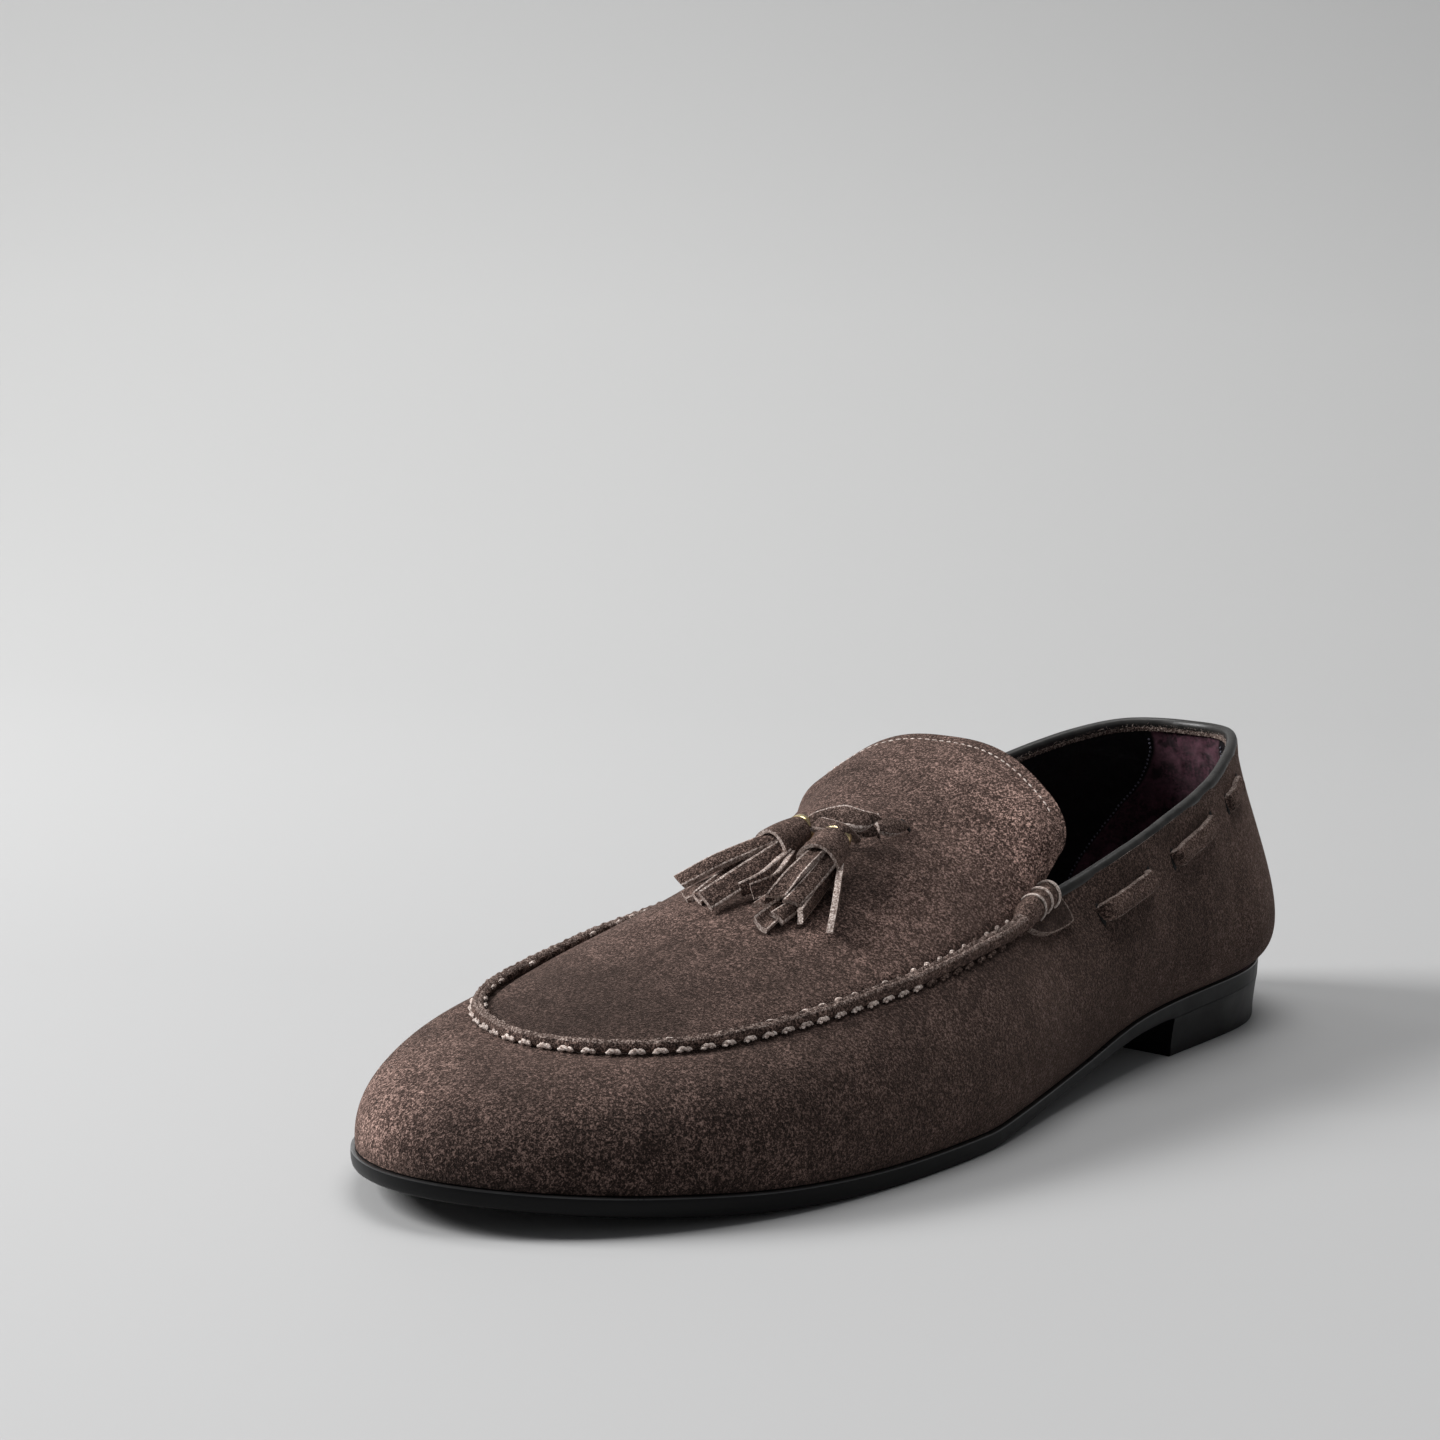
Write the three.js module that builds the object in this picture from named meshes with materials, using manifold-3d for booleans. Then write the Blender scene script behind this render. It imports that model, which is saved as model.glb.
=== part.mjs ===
// Suede tassel loafer for the left foot. Millimetres, +Z up, the toe towards -Y and the outer side of the foot
// towards +X. Every shape is worked out from the sizes below; tables hold shares of them.
import * as THREE from "three";
import { mergeVertices } from "three/addons/utils/BufferGeometryUtils.js";
import Module from "manifold-3d";

// Sizes of the last
const LENGTH = 298;
const BALL_WIDTH = 103;
const HEEL_WIDTH = 69;
const BACK_HEIGHT = 69.5;
const INSTEP_HEIGHT = 78;

// Sole and heel
const SOLE_THICKNESS = 4.2;
const WAIST_THICKNESS = 3.3;
const SOLE_UNDERCUT = 0.4;
const HEEL_HEIGHT = 10;
const HEEL_LENGTH = 74.5;
const HEEL_TAPER = 0.5;
const TOE_SPRING = 6.8;
const SOLE_LEDGE = 0.9;

// Upper
const WALL = 2.2;
const INSOLE_THICKNESS = 2.6;
const GAP = 0.3;
const SEAM_RADIUS = 1.7;
const SEAM_RISE = 0.9;
const BINDING_HEIGHT = 3.2;
const BINDING_PROUD = 0.45;
const BINDING_SETBACK = 3.6;
const TONGUE_REACH = 13.5;
const TONGUE_RISE = 5;
const TONGUE_FLARE = 3.2;
const TONGUE_SQUARENESS = 2.6;

// Trim
const PATCH_THICKNESS = 1.1;
const PATCH_LENGTH = 21;
const PATCH_DEPTH = 8;
const LACE_WIDTH = 4.2;
const LACE_THICKNESS = 1.2;
const LACE_SHOWING = 23;
const KNOT_AT = 0.537;
const KNOT_X = 0.035;
const KNOT_SWEEP = 6;
const KNOT_SPAN = 23;
const KNOT_RISE = 4.4;

// Tassels
const CAP_LENGTH = 11;
const CAP_RADIUS = 4.8;
const NECK_RADIUS = 3.1;
const NECK_LENGTH = 2;
const RING_RADIUS = 4.1;
const STRIP_LENGTH = 23;
const STRIP_WIDTH = 4.6;
const STRIP_THICKNESS = 1.2;

// Mesh steps
const STEPS_ROUND = 84;
const STEPS_UP = 8;
const STEPS_ACROSS = 14;

// A row for each pair of ribs, from the back of the heel to the toe. at is the station of the sole's edge and rim
// that of the wall's top edge, as shares of LENGTH. out and in are half widths of the sole's edge towards the outer
// and inner side, as shares of the width there; rimOut and rimIn are those of the top edge, as shares of BALL_WIDTH.
// rimZ is the top edge's height as a share of BACK_HEIGHT. The wall leans out over the sole by swell near its foot,
// at a height of belly, and by shoulder near its top, as shares of BALL_WIDTH; full is how round its shoulder is.
const RIBS = [
  { at: 0.0, out: 0.0, in: 0.0, rim: 0.029, rimOut: 0.0, rimIn: 0.0, rimZ: 1.0, swell: 0.122, belly: 0.12, shoulder: 0.004, full: 0.4 },
  { at: 0.012, out: 0.178, in: 0.178, rim: 0.035, rimOut: 0.12, rimIn: 0.12, rimZ: 0.998, swell: 0.122, belly: 0.12, shoulder: 0.004, full: 0.4 },
  { at: 0.04, out: 0.335, in: 0.335, rim: 0.06, rimOut: 0.198, rimIn: 0.198, rimZ: 0.985, swell: 0.122, belly: 0.12, shoulder: 0.004, full: 0.4 },
  { at: 0.09, out: 0.455, in: 0.445, rim: 0.11, rimOut: 0.256, rimIn: 0.256, rimZ: 0.945, swell: 0.118, belly: 0.14, shoulder: 0.006, full: 0.4 },
  { at: 0.16, out: 0.507, in: 0.49, rim: 0.175, rimOut: 0.306, rimIn: 0.306, rimZ: 0.888, swell: 0.098, belly: 0.2, shoulder: 0.012, full: 0.42 },
  { at: 0.25, out: 0.526, in: 0.45, rim: 0.26, rimOut: 0.335, rimIn: 0.335, rimZ: 0.8, swell: 0.073, belly: 0.3, shoulder: 0.018, full: 0.45 },
  { at: 0.335, out: 0.515, in: 0.375, rim: 0.343, rimOut: 0.345, rimIn: 0.345, rimZ: 0.72, swell: 0.063, belly: 0.42, shoulder: 0.021, full: 0.5 },
  { at: 0.42, out: 0.5, in: 0.33, rim: 0.43, rimOut: 0.326, rimIn: 0.326, rimZ: 0.652, swell: 0.06, belly: 0.48, shoulder: 0.021, full: 0.5 },
  { at: 0.5, out: 0.5, in: 0.315, rim: 0.49, rimOut: 0.368, rimIn: 0.366, rimZ: 0.602, swell: 0.06, belly: 0.5, shoulder: 0.021, full: 0.5 },
  { at: 0.58, out: 0.515, in: 0.365, rim: 0.563, rimOut: 0.397, rimIn: 0.39, rimZ: 0.558, swell: 0.055, belly: 0.52, shoulder: 0.019, full: 0.52 },
  { at: 0.65, out: 0.525, in: 0.425, rim: 0.633, rimOut: 0.399, rimIn: 0.395, rimZ: 0.522, swell: 0.045, belly: 0.55, shoulder: 0.016, full: 0.55 },
  { at: 0.72, out: 0.522, in: 0.465, rim: 0.7, rimOut: 0.382, rimIn: 0.385, rimZ: 0.492, swell: 0.035, belly: 0.58, shoulder: 0.012, full: 0.58 },
  { at: 0.79, out: 0.498, in: 0.462, rim: 0.762, rimOut: 0.35, rimIn: 0.355, rimZ: 0.466, swell: 0.027, belly: 0.6, shoulder: 0.009, full: 0.6 },
  { at: 0.86, out: 0.436, in: 0.422, rim: 0.815, rimOut: 0.298, rimIn: 0.303, rimZ: 0.448, swell: 0.02, belly: 0.62, shoulder: 0.007, full: 0.62 },
  { at: 0.92, out: 0.342, in: 0.338, rim: 0.848, rimOut: 0.223, rimIn: 0.227, rimZ: 0.436, swell: 0.015, belly: 0.62, shoulder: 0.005, full: 0.62 },
  { at: 0.965, out: 0.23, in: 0.23, rim: 0.866, rimOut: 0.145, rimIn: 0.148, rimZ: 0.43, swell: 0.012, belly: 0.62, shoulder: 0.004, full: 0.62 },
  { at: 0.991, out: 0.117, in: 0.117, rim: 0.875, rimOut: 0.073, rimIn: 0.074, rimZ: 0.427, swell: 0.01, belly: 0.62, shoulder: 0.004, full: 0.62 },
  { at: 1.0, out: 0.0, in: 0.0, rim: 0.878, rimOut: 0.0, rimIn: 0.0, rimZ: 0.426, swell: 0.01, belly: 0.62, shoulder: 0.004, full: 0.62 },
];
const THROAT_ROW = 7;

// Underside of the sole: heel and spring are shares of HEEL_HEIGHT and TOE_SPRING
const UNDERSIDE = [
  { at: 0, heel: 1.27, spring: 0 },
  { at: 0.1, heel: 1.08, spring: 0 },
  { at: 0.2, heel: 1, spring: 0 },
  { at: 0.3, heel: 0.9, spring: 0 },
  { at: 0.42, heel: 0.47, spring: 0 },
  { at: 0.53, heel: 0.14, spring: 0 },
  { at: 0.59, heel: 0, spring: 0 },
  { at: 0.68, heel: 0, spring: 0 },
  { at: 0.8, heel: 0, spring: 0.15 },
  { at: 0.9, heel: 0, spring: 0.48 },
  { at: 1, heel: 0, spring: 1 },
];
// Height of the apron's centre line as a share of INSTEP_HEIGHT. flat says how level its arch is on top and steep
// how sharply it comes down to the seam; lean is how far its ridge moves to the inner side, as a share of BALL_WIDTH.
const INSTEP = [
  { at: 0.4, height: 0.955, flat: 2.8, steep: 2.5, lean: 0.045 },
  { at: 0.42, height: 0.945, flat: 2.8, steep: 2.4, lean: 0.043 },
  { at: 0.455, height: 0.893, flat: 2.6, steep: 1.55, lean: 0.041 },
  { at: 0.49, height: 0.84, flat: 2.4, steep: 1.15, lean: 0.038 },
  { at: 0.563, height: 0.75, flat: 2.1, steep: 1.05, lean: 0.028 },
  { at: 0.633, height: 0.66, flat: 2, steep: 1, lean: 0.02 },
  { at: 0.7, height: 0.58, flat: 2, steep: 1, lean: 0.012 },
  { at: 0.762, height: 0.51, flat: 2, steep: 1, lean: 0.006 },
  { at: 0.815, height: 0.455, flat: 2, steep: 1, lean: 0.002 },
  { at: 0.848, height: 0.415, flat: 2, steep: 1, lean: 0 },
  { at: 0.878, height: 0.38, flat: 2, steep: 1, lean: 0 },
];

// Lace bars under the collar's edge: at is their station as a share of LENGTH, below how far under the edge their
// middle runs, as a share of LACE_WIDTH
const LACES = [
  { name: "front", at: 0.338, below: 1.62 },
  { name: "middle", at: 0.222, below: 1.45 },
  { name: "back", at: 0.108, below: 1.3 },
];
// Lower edge of the patch at the seam's end, from front to back: t along it, deep as a share of PATCH_DEPTH
const PATCH = [
  { t: 0, deep: 0.62 },
  { t: 0.12, deep: 0.86 },
  { t: 0.5, deep: 0.98 },
  { t: 0.85, deep: 1 },
  { t: 1, deep: 0.78 },
];
// Where each tassel lies on the apron: start and end as plan x (share of BALL_WIDTH) and station (share of LENGTH)
const TASSELS = [
  { name: "outer", x: 0.078, at: 0.571, endX: 0.147, endAt: 0.664 },
  { name: "inner", x: -0.022, at: 0.567, endX: -0.085, endAt: 0.66 },
];
// Strips of a tassel: round is where one leaves the cap, spread and reach where it ends, as shares of STRIP_LENGTH,
// lift its height over the one below, as a share of STRIP_WIDTH, and roll how far it stands on edge, in degrees
const STRIPS = [
  { round: 200, spread: -0.3, reach: 0.93, lift: 0, roll: 20 },
  { round: 270, spread: 0.02, reach: 1, lift: 0, roll: 0 },
  { round: 340, spread: 0.3, reach: 0.95, lift: 0.1, roll: -55 },
  { round: 150, spread: -0.2, reach: 1.0, lift: 0.6, roll: 30 },
  { round: 90, spread: -0.03, reach: 0.94, lift: 0.75, roll: 10 },
  { round: 40, spread: 0.15, reach: 0.98, lift: 0.6, roll: -25 },
  { round: 80, spread: 0.05, reach: 0.86, lift: 1.15, roll: -5 },
];

// Small helpers
const mix = (a, b, t) => a + (b - a) * t;
const ease = (low, high, x) => {
  const t = Math.min(1, Math.max(0, (x - low) / (high - low)));
  return t * t * (3 - 2 * t);
};
const steps = (n) => Array.from({ length: n + 1 }, (_, i) => i / n);
const vec = (x, y, z) => new THREE.Vector3(x, y, z);

// A curve through table rows that never overshoots, so that level stretches stay level
function monotone(xs, ys) {
  const n = xs.length;
  const slope = xs.slice(1).map((x, i) => (ys[i + 1] - ys[i]) / (x - xs[i]));
  const tangent = ys.map((_, i) => {
    if (i === 0) return slope[0];
    if (i === n - 1) return slope[n - 2];
    const [a, b] = [slope[i - 1], slope[i]];
    return a * b <= 0 ? 0 : (2 * a * b) / (a + b);
  });
  return (x) => {
    if (x <= xs[0]) return ys[0];
    if (x >= xs[n - 1]) return ys[n - 1];
    const i = xs.findIndex((v) => v > x) - 1;
    const h = xs[i + 1] - xs[i];
    const t = (x - xs[i]) / h;
    const a = (1 + 2 * t) * (1 - t) ** 2 * ys[i] + t * (1 - t) ** 2 * h * tangent[i];
    return a + t * t * (3 - 2 * t) * ys[i + 1] + t * t * (t - 1) * h * tangent[i + 1];
  };
}

// A smooth closed curve through values at the given places round a loop of the given length
function closedSpline(places, values, around) {
  const n = places.length;
  const h = places.map((p, i) => (i + 1 < n ? places[i + 1] : places[0] + around) - p);
  const rows = places.map((_, i) => {
    const row = new Array(n + 1).fill(0);
    const [before, next] = [(i + n - 1) % n, (i + 1) % n];
    row[before] += h[before];
    row[i] += 2 * (h[before] + h[i]);
    row[next] += h[i];
    row[n] = 6 * ((values[next] - values[i]) / h[i] - (values[i] - values[before]) / h[before]);
    return row;
  });
  for (let i = 0; i < n; i++) {
    for (let j = i + 1; j < n; j++) {
      const share = rows[j][i] / rows[i][i];
      if (share) for (let k = i; k <= n; k++) rows[j][k] -= share * rows[i][k];
    }
  }
  const bend = new Array(n).fill(0);
  for (let i = n - 1; i >= 0; i--) {
    let sum = rows[i][n];
    for (let k = i + 1; k < n; k++) sum -= rows[i][k] * bend[k];
    bend[i] = sum / rows[i][i];
  }
  return (u) => {
    const place = (((u % 1) + 1) % 1) * around;
    let i = n - 1;
    while (i > 0 && places[i] > place) i--;
    const next = (i + 1) % n;
    const b = (place - places[i]) / h[i];
    const a = 1 - b;
    const curve = ((a ** 3 - a) * bend[i] + (b ** 3 - b) * bend[next]) * h[i] ** 2 / 6;
    return a * values[i] + b * values[next] + curve;
  };
}

// Loops round the shoe. u is 0 at the back of the heel, 0.5 at the toe, and runs along the outer side first.
const widthAt = (at) => mix(HEEL_WIDTH, BALL_WIDTH, ease(0.2, 0.62, at));
const ring = [...RIBS.keys(), ...[...RIBS.keys()].slice(1, -1).reverse()];
const isOuter = (i) => i < RIBS.length;
const ribPlaces = RIBS.map(() => 0);
for (let i = 1; i < RIBS.length; i++) {
  const [a, b] = [RIBS[i - 1], RIBS[i]];
  const across = (r) => ((r.out + r.in) / 2) * widthAt(r.at);
  ribPlaces[i] = ribPlaces[i - 1] + Math.hypot(across(b) - across(a), (b.at - a.at) * LENGTH);
}
const halfRound = ribPlaces[RIBS.length - 1];
const places = ring.map((row, i) => (isOuter(i) ? ribPlaces[row] : 2 * halfRound - ribPlaces[row]));
const loop = (value) => closedSpline(places, ring.map((row, i) => value(RIBS[row], isOuter(i))), 2 * halfRound);
const edgeX = loop((r, outer) => (outer ? r.out : -r.in) * widthAt(r.at));
const edgeS = loop((r) => r.at * LENGTH);
const rimX = loop((r, outer) => (outer ? r.rimOut : -r.rimIn) * BALL_WIDTH);
const rimS = loop((r) => r.rim * LENGTH);
const rimZ = loop((r) => r.rimZ * BACK_HEIGHT);
const swellOf = loop((r) => r.swell * BALL_WIDTH);
const bellyOf = loop((r) => r.belly);
const shoulderOf = loop((r) => r.shoulder * BALL_WIDTH);
const fullOf = loop((r) => r.full);
const throatU = ribPlaces[THROAT_ROW] / (2 * halfRound);

// Sole heights along the shoe, s being the distance from the back of the heel
const underside = monotone(
  UNDERSIDE.map((r) => r.at * LENGTH),
  UNDERSIDE.map((r) => r.heel * HEEL_HEIGHT + r.spring * TOE_SPRING),
);
const thickness = monotone(
  [0, 0.22 * LENGTH, 0.45 * LENGTH, 0.62 * LENGTH, 0.85 * LENGTH, LENGTH],
  [SOLE_THICKNESS, SOLE_THICKNESS, WAIST_THICKNESS, SOLE_THICKNESS, SOLE_THICKNESS, SOLE_THICKNESS * 0.8],
);
const soleTop = (s) => underside(s) + thickness(s);

// A point of the sole's edge loop, moved in by a distance, as plan x and s
function edge(u, inset = 0) {
  const d = 1e-4;
  const tx = edgeX(u + d) - edgeX(u - d);
  const ts = edgeS(u + d) - edgeS(u - d);
  const size = Math.hypot(tx, ts);
  const [nx, ns] = [ts / size, -tx / size];
  return { x: edgeX(u) - nx * inset, s: edgeS(u) - ns * inset, nx, ns };
}
const place = (x, s, z) => vec(x, LENGTH / 2 - s, z);

// The wall of the upper: v is 0 at the sole and 1 at the top edge
function wallPoint(u, v) {
  const foot = edge(u, SOLE_LEDGE);
  const low = place(foot.x, foot.s, soleTop(foot.s) + GAP);
  const top = place(rimX(u), rimS(u), rimZ(u));
  const out = vec(foot.nx, -foot.ns, 0);
  const rise = top.z - low.z;
  const inward = Math.max(0, top.clone().sub(low).dot(out) * -1);
  const lower = low.clone().addScaledVector(out, swellOf(u)).add(vec(0, 0, rise * bellyOf(u)));
  const upper = top.clone().addScaledVector(out, inward * fullOf(u) + shoulderOf(u));
  upper.z -= rise * mix(0.34, 0.14, ease(0.15, 0.3, u < 0.5 ? u : 1 - u));
  return new THREE.CubicBezierCurve3(low, lower, upper, top).getPoint(v);
}
function wallFrame(u, v) {
  const d = 1e-3;
  const point = wallPoint(u, v);
  const along = wallPoint(u + d, v).sub(wallPoint(u - d, v)).normalize();
  const v0 = Math.max(0, v - d);
  const up = wallPoint(u, Math.min(1, v + d)).sub(wallPoint(u, v0)).normalize();
  const out = new THREE.Vector3().crossVectors(up, along).normalize();
  return { point, along, up, out: out.dot(vec(edge(u).nx, -edge(u).ns, 0.2)) < 0 ? out.negate() : out };
}

// The apron: a is 0 at its front, 1 at the throat and 2 at the tongue's end; across runs from -1 to 1
const instepHeight = monotone(INSTEP.map((r) => r.at * LENGTH), INSTEP.map((r) => r.height * INSTEP_HEIGHT));
const flatOf = monotone(INSTEP.map((r) => r.at * LENGTH), INSTEP.map((r) => r.flat));
const leanOf = monotone(INSTEP.map((r) => r.at * LENGTH), INSTEP.map((r) => r.lean * BALL_WIDTH));
const steepOf = monotone(INSTEP.map((r) => r.at * LENGTH), INSTEP.map((r) => r.steep));
function apronPoint(a, across) {
  const u = mix(0.5, throatU, Math.min(a, 1));
  const s = rimS(u);
  const z = rimZ(u);
  const arch = (1 - Math.abs(across) ** flatOf(s)) ** (1 / steepOf(s));
  const height = z + Math.max(0, instepHeight(s) - z) * arch;
  const flare = 4 * TONGUE_FLARE * ease(0.5 * LENGTH, RIBS[THROAT_ROW].rim * LENGTH, s) * arch * (1 - arch);
  const x = mix(rimX(1 - u), rimX(u), (across + 1) / 2) - leanOf(s) * arch + flare * across;
  if (a <= 1) return place(x, s, height);
  const back = (a - 1) * (1 - Math.abs(across) ** TONGUE_SQUARENESS) ** (1 / TONGUE_SQUARENESS);
  return place(x, s - TONGUE_REACH * back, height + TONGUE_RISE * back);
}

// Meshes. A grid is a list of rows of points; face lists are welded, so collapsed ends stay closed.
const grid = (rows, columns, point) => rows.map((r) => columns.map((c) => point(r, c)));
function quads(points, wrap = false) {
  const faces = [];
  const count = points[0].length;
  for (let i = 0; i + 1 < points.length; i++) {
    for (let j = 0; j + (wrap ? 0 : 1) < count; j++) {
      const k = (j + 1) % count;
      const [a, b, c, d] = [points[i][j], points[i][k], points[i + 1][k], points[i + 1][j]];
      if (a.distanceTo(c) < b.distanceTo(d)) faces.push([a, b, c], [a, c, d]);
      else faces.push([a, b, d], [b, c, d]);
    }
  }
  return faces;
}
function weld(faces) {
  const flat = new Float32Array(faces.flatMap((f) => f.flatMap((p) => [p.x, p.y, p.z])));
  const loose = new THREE.BufferGeometry();
  loose.setAttribute("position", new THREE.BufferAttribute(flat, 3));
  const geometry = mergeVertices(loose, 2e-4);
  const index = [...geometry.index.array];
  const kept = [];
  for (let i = 0; i < index.length; i += 3) {
    const [a, b, c] = index.slice(i, i + 3);
    if (a !== b && b !== c && a !== c) kept.push(a, b, c);
  }
  geometry.setIndex(kept);
  return geometry;
}
function volume(geometry) {
  const p = geometry.attributes.position;
  const at = (i) => vec(p.getX(i), p.getY(i), p.getZ(i));
  const index = geometry.index.array;
  let sum = 0;
  for (let i = 0; i < index.length; i += 3) {
    sum += at(index[i]).dot(at(index[i + 1]).cross(at(index[i + 2])));
  }
  return sum / 6;
}
function outward(geometry) {
  if (volume(geometry) > 0) return geometry;
  const index = [...geometry.index.array];
  for (let i = 0; i < index.length; i += 3) [index[i], index[i + 1]] = [index[i + 1], index[i]];
  geometry.setIndex(index);
  return geometry;
}
// Closes the space between two grids of the same size
function between(top, bottom, wrap = false) {
  const flip = (faces) => faces.map(([a, b, c]) => [a, c, b]);
  const last = top.length - 1;
  const faces = [...quads(top, wrap), ...flip(quads(bottom, wrap))];
  faces.push(...flip(quads([top[0], bottom[0]], wrap)), ...quads([top[last], bottom[last]], wrap));
  if (!wrap) {
    const end = top[0].length - 1;
    const column = (g, j) => g.map((row) => row[j]);
    faces.push(...quads([column(top, 0), column(bottom, 0)]));
    faces.push(...flip(quads([column(top, end), column(bottom, end)])));
  }
  return outward(weld(faces));
}
// The grid's points moved back along the surface's own normals
function offsetGrid(points, distance, wrap, outside) {
  const key = (p) => `${p.x.toFixed(3)},${p.y.toFixed(3)},${p.z.toFixed(3)}`;
  const normals = new Map();
  for (const [a, b, c] of quads(points, wrap)) {
    const normal = b.clone().sub(a).cross(c.clone().sub(a));
    for (const p of [a, b, c]) normals.set(key(p), (normals.get(key(p)) ?? vec(0, 0, 0)).add(normal));
  }
  const middle = points[Math.floor(points.length / 2)][0];
  const sign = normals.get(key(middle)).dot(outside) > 0 ? 1 : -1;
  return points.map((row) =>
    row.map((p) => p.clone().addScaledVector(normals.get(key(p)).clone().normalize(), distance * sign)),
  );
}
// A closed bar along frames, each with a list of section points
function sweep(rings) {
  const centre = (points) => points.reduce((sum, p) => sum.add(p), vec(0, 0, 0)).divideScalar(points.length);
  const first = rings[0].map(() => centre(rings[0]));
  const last = rings[0].map(() => centre(rings[rings.length - 1]));
  return outward(weld(quads([first, ...rings, last], true)));
}

// Joining
const wasm = await Module();
wasm.setup();
function toManifold(geometry) {
  return new wasm.Manifold(
    new wasm.Mesh({
      numProp: 3,
      vertProperties: new Float32Array(geometry.attributes.position.array),
      triVerts: new Uint32Array(geometry.index.array),
    }),
  );
}
function join(...geometries) {
  const solid = geometries.map(toManifold).reduce((sum, next) => sum.add(next));
  const bodies = solid.decompose().sort((a, b) => b.volume() - a.volume());
  const mesh = bodies[0].getMesh();
  const joined = new THREE.BufferGeometry();
  const points = new Float32Array(mesh.numVert * 3);
  for (let i = 0; i < mesh.numVert; i++) points.set(mesh.vertProperties.slice(i * mesh.numProp, i * mesh.numProp + 3), i * 3);
  joined.setAttribute("position", new THREE.BufferAttribute(points, 3));
  joined.setIndex([...mesh.triVerts]);
  return joined;
}

// Materials
const paint = (colour, roughness, metalness = 0) =>
  new THREE.MeshStandardMaterial({ color: colour, roughness, metalness });
const suede = paint("#43332b", 0.95);
const blackLeather = paint("#1d1d1f", 0.45);
const soleBlack = paint("#161617", 0.5);
const sockLeather = paint("#2a2124", 0.6);
const brass = paint("#c9a860", 0.3, 1);

const loafer = new THREE.Group();
function add(name, geometry, material, parent = loafer) {
  geometry.computeVertexNormals();
  const mesh = new THREE.Mesh(geometry, material);
  mesh.name = name;
  parent.add(mesh);
  return mesh;
}

// Flat layers under the foot: sections across the shoe from the back to the toe
function layer(fromU, toU, count, topInset, bottomInset, topZ, bottomZ) {
  const across = steps(4);
  const stations = steps(count).map((t) => mix(fromU, toU, t));
  const sheet = (inset, height) =>
    grid(stations, across, (u, t) => {
      const [outer, inner] = [edge(u, inset), edge(1 - u, inset)];
      const s = mix(inner.s, outer.s, t);
      return place(mix(inner.x, outer.x, t), s, height(s));
    });
  return between(sheet(topInset, topZ), sheet(bottomInset, bottomZ));
}

function outsole() {
  return layer(0, 0.5, 44, 0, SOLE_UNDERCUT, soleTop, underside);
}
const breastU = (() => {
  let [low, high] = [0, 0.5];
  for (let i = 0; i < 40; i++) {
    const middle = (low + high) / 2;
    if (edge(middle, SOLE_UNDERCUT).s < HEEL_LENGTH) low = middle;
    else high = middle;
  }
  return low;
})();
function heel() {
  return layer(0, breastU, 16, SOLE_UNDERCUT, SOLE_UNDERCUT + HEEL_TAPER, (s) => underside(s) - GAP, () => 0);
}
function insole() {
  const clear = SOLE_LEDGE + WALL + GAP;
  return layer(0, 0.5, 36, clear, clear, (s) => soleTop(s) + GAP + INSOLE_THICKNESS, (s) => soleTop(s) + GAP);
}

function wall() {
  const heights = steps(STEPS_UP);
  const round = steps(STEPS_ROUND).slice(0, -1);
  const outer = grid(heights, round, (v, u) => wallPoint(u, v));
  const inner = offsetGrid(outer, -WALL, true, vec(0, 1, 0));
  return between(outer, inner, true);
}
function apron() {
  const lengthwise = [...steps(20), ...steps(5).slice(1).map((t) => 1 + t)];
  const across = steps(STEPS_ACROSS).map((t) => Math.sin((t - 0.5) * Math.PI));
  const outer = grid(lengthwise, across, apronPoint);
  const inner = offsetGrid(outer, -WALL, false, vec(0, 0, 1));
  return between(outer, inner);
}
// The raised seam where wall and apron are sewn together
function seam() {
  const turns = steps(8).slice(0, -1).map((t) => t * 2 * Math.PI);
  const stations = steps(60).map((t) => mix(throatU, 1 - throatU, t));
  return sweep(
    stations.map((u) => {
      const { point, along, up, out } = wallFrame(u, 1);
      const lift = vec(0, 0, 1).addScaledVector(out, 0.35).normalize();
      const side = new THREE.Vector3().crossVectors(lift, along).normalize();
      const centre = point.clone().addScaledVector(lift, SEAM_RISE);
      return turns.map((t) =>
        centre
          .clone()
          .addScaledVector(side, SEAM_RADIUS * Math.cos(t))
          .addScaledVector(lift, SEAM_RADIUS * 1.15 * Math.sin(t)),
      );
    }),
  );
}
function upper() {
  return join(wall(), seam(), apron());
}

// The soft edge round the collar, from one end of the seam to the other
function binding() {
  const corner = (t) => Math.sign(Math.cos(t)) * Math.min(1, Math.abs(Math.cos(t)) * 1.08);
  const rise = (t) => Math.sign(Math.sin(t)) * Math.min(1, Math.abs(Math.sin(t)) * 1.08);
  const turns = steps(8).slice(0, -1).map((t) => (t + 1 / 16) * 2 * Math.PI);
  const end = throatU - BINDING_SETBACK / (2 * halfRound);
  const stations = steps(52).map((t) => mix(-end, end, t));
  return sweep(
    stations.map((u) => {
      const { point, along, out } = wallFrame(u, 1);
      const up = new THREE.Vector3().crossVectors(along, out).normalize();
      if (up.z < 0) up.negate();
      const centre = point
        .clone()
        .addScaledVector(out, -WALL / 2)
        .addScaledVector(up, GAP + BINDING_HEIGHT / 2);
      return turns.map((t) =>
        centre
          .clone()
          .addScaledVector(out, (WALL / 2 + BINDING_PROUD) * corner(t))
          .addScaledVector(up, (BINDING_HEIGHT / 2) * rise(t)),
      );
    }),
  );
}

// A place on the wall's outer face, so far under its top edge
function belowEdge(u, distance) {
  const top = wallPoint(u, 1);
  let [low, high] = [0.2, 1];
  for (let i = 0; i < 30; i++) {
    const middle = (low + high) / 2;
    if (wallPoint(u, middle).distanceTo(top) > distance) low = middle;
    else high = middle;
  }
  return wallFrame(u, (low + high) / 2);
}
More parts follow.
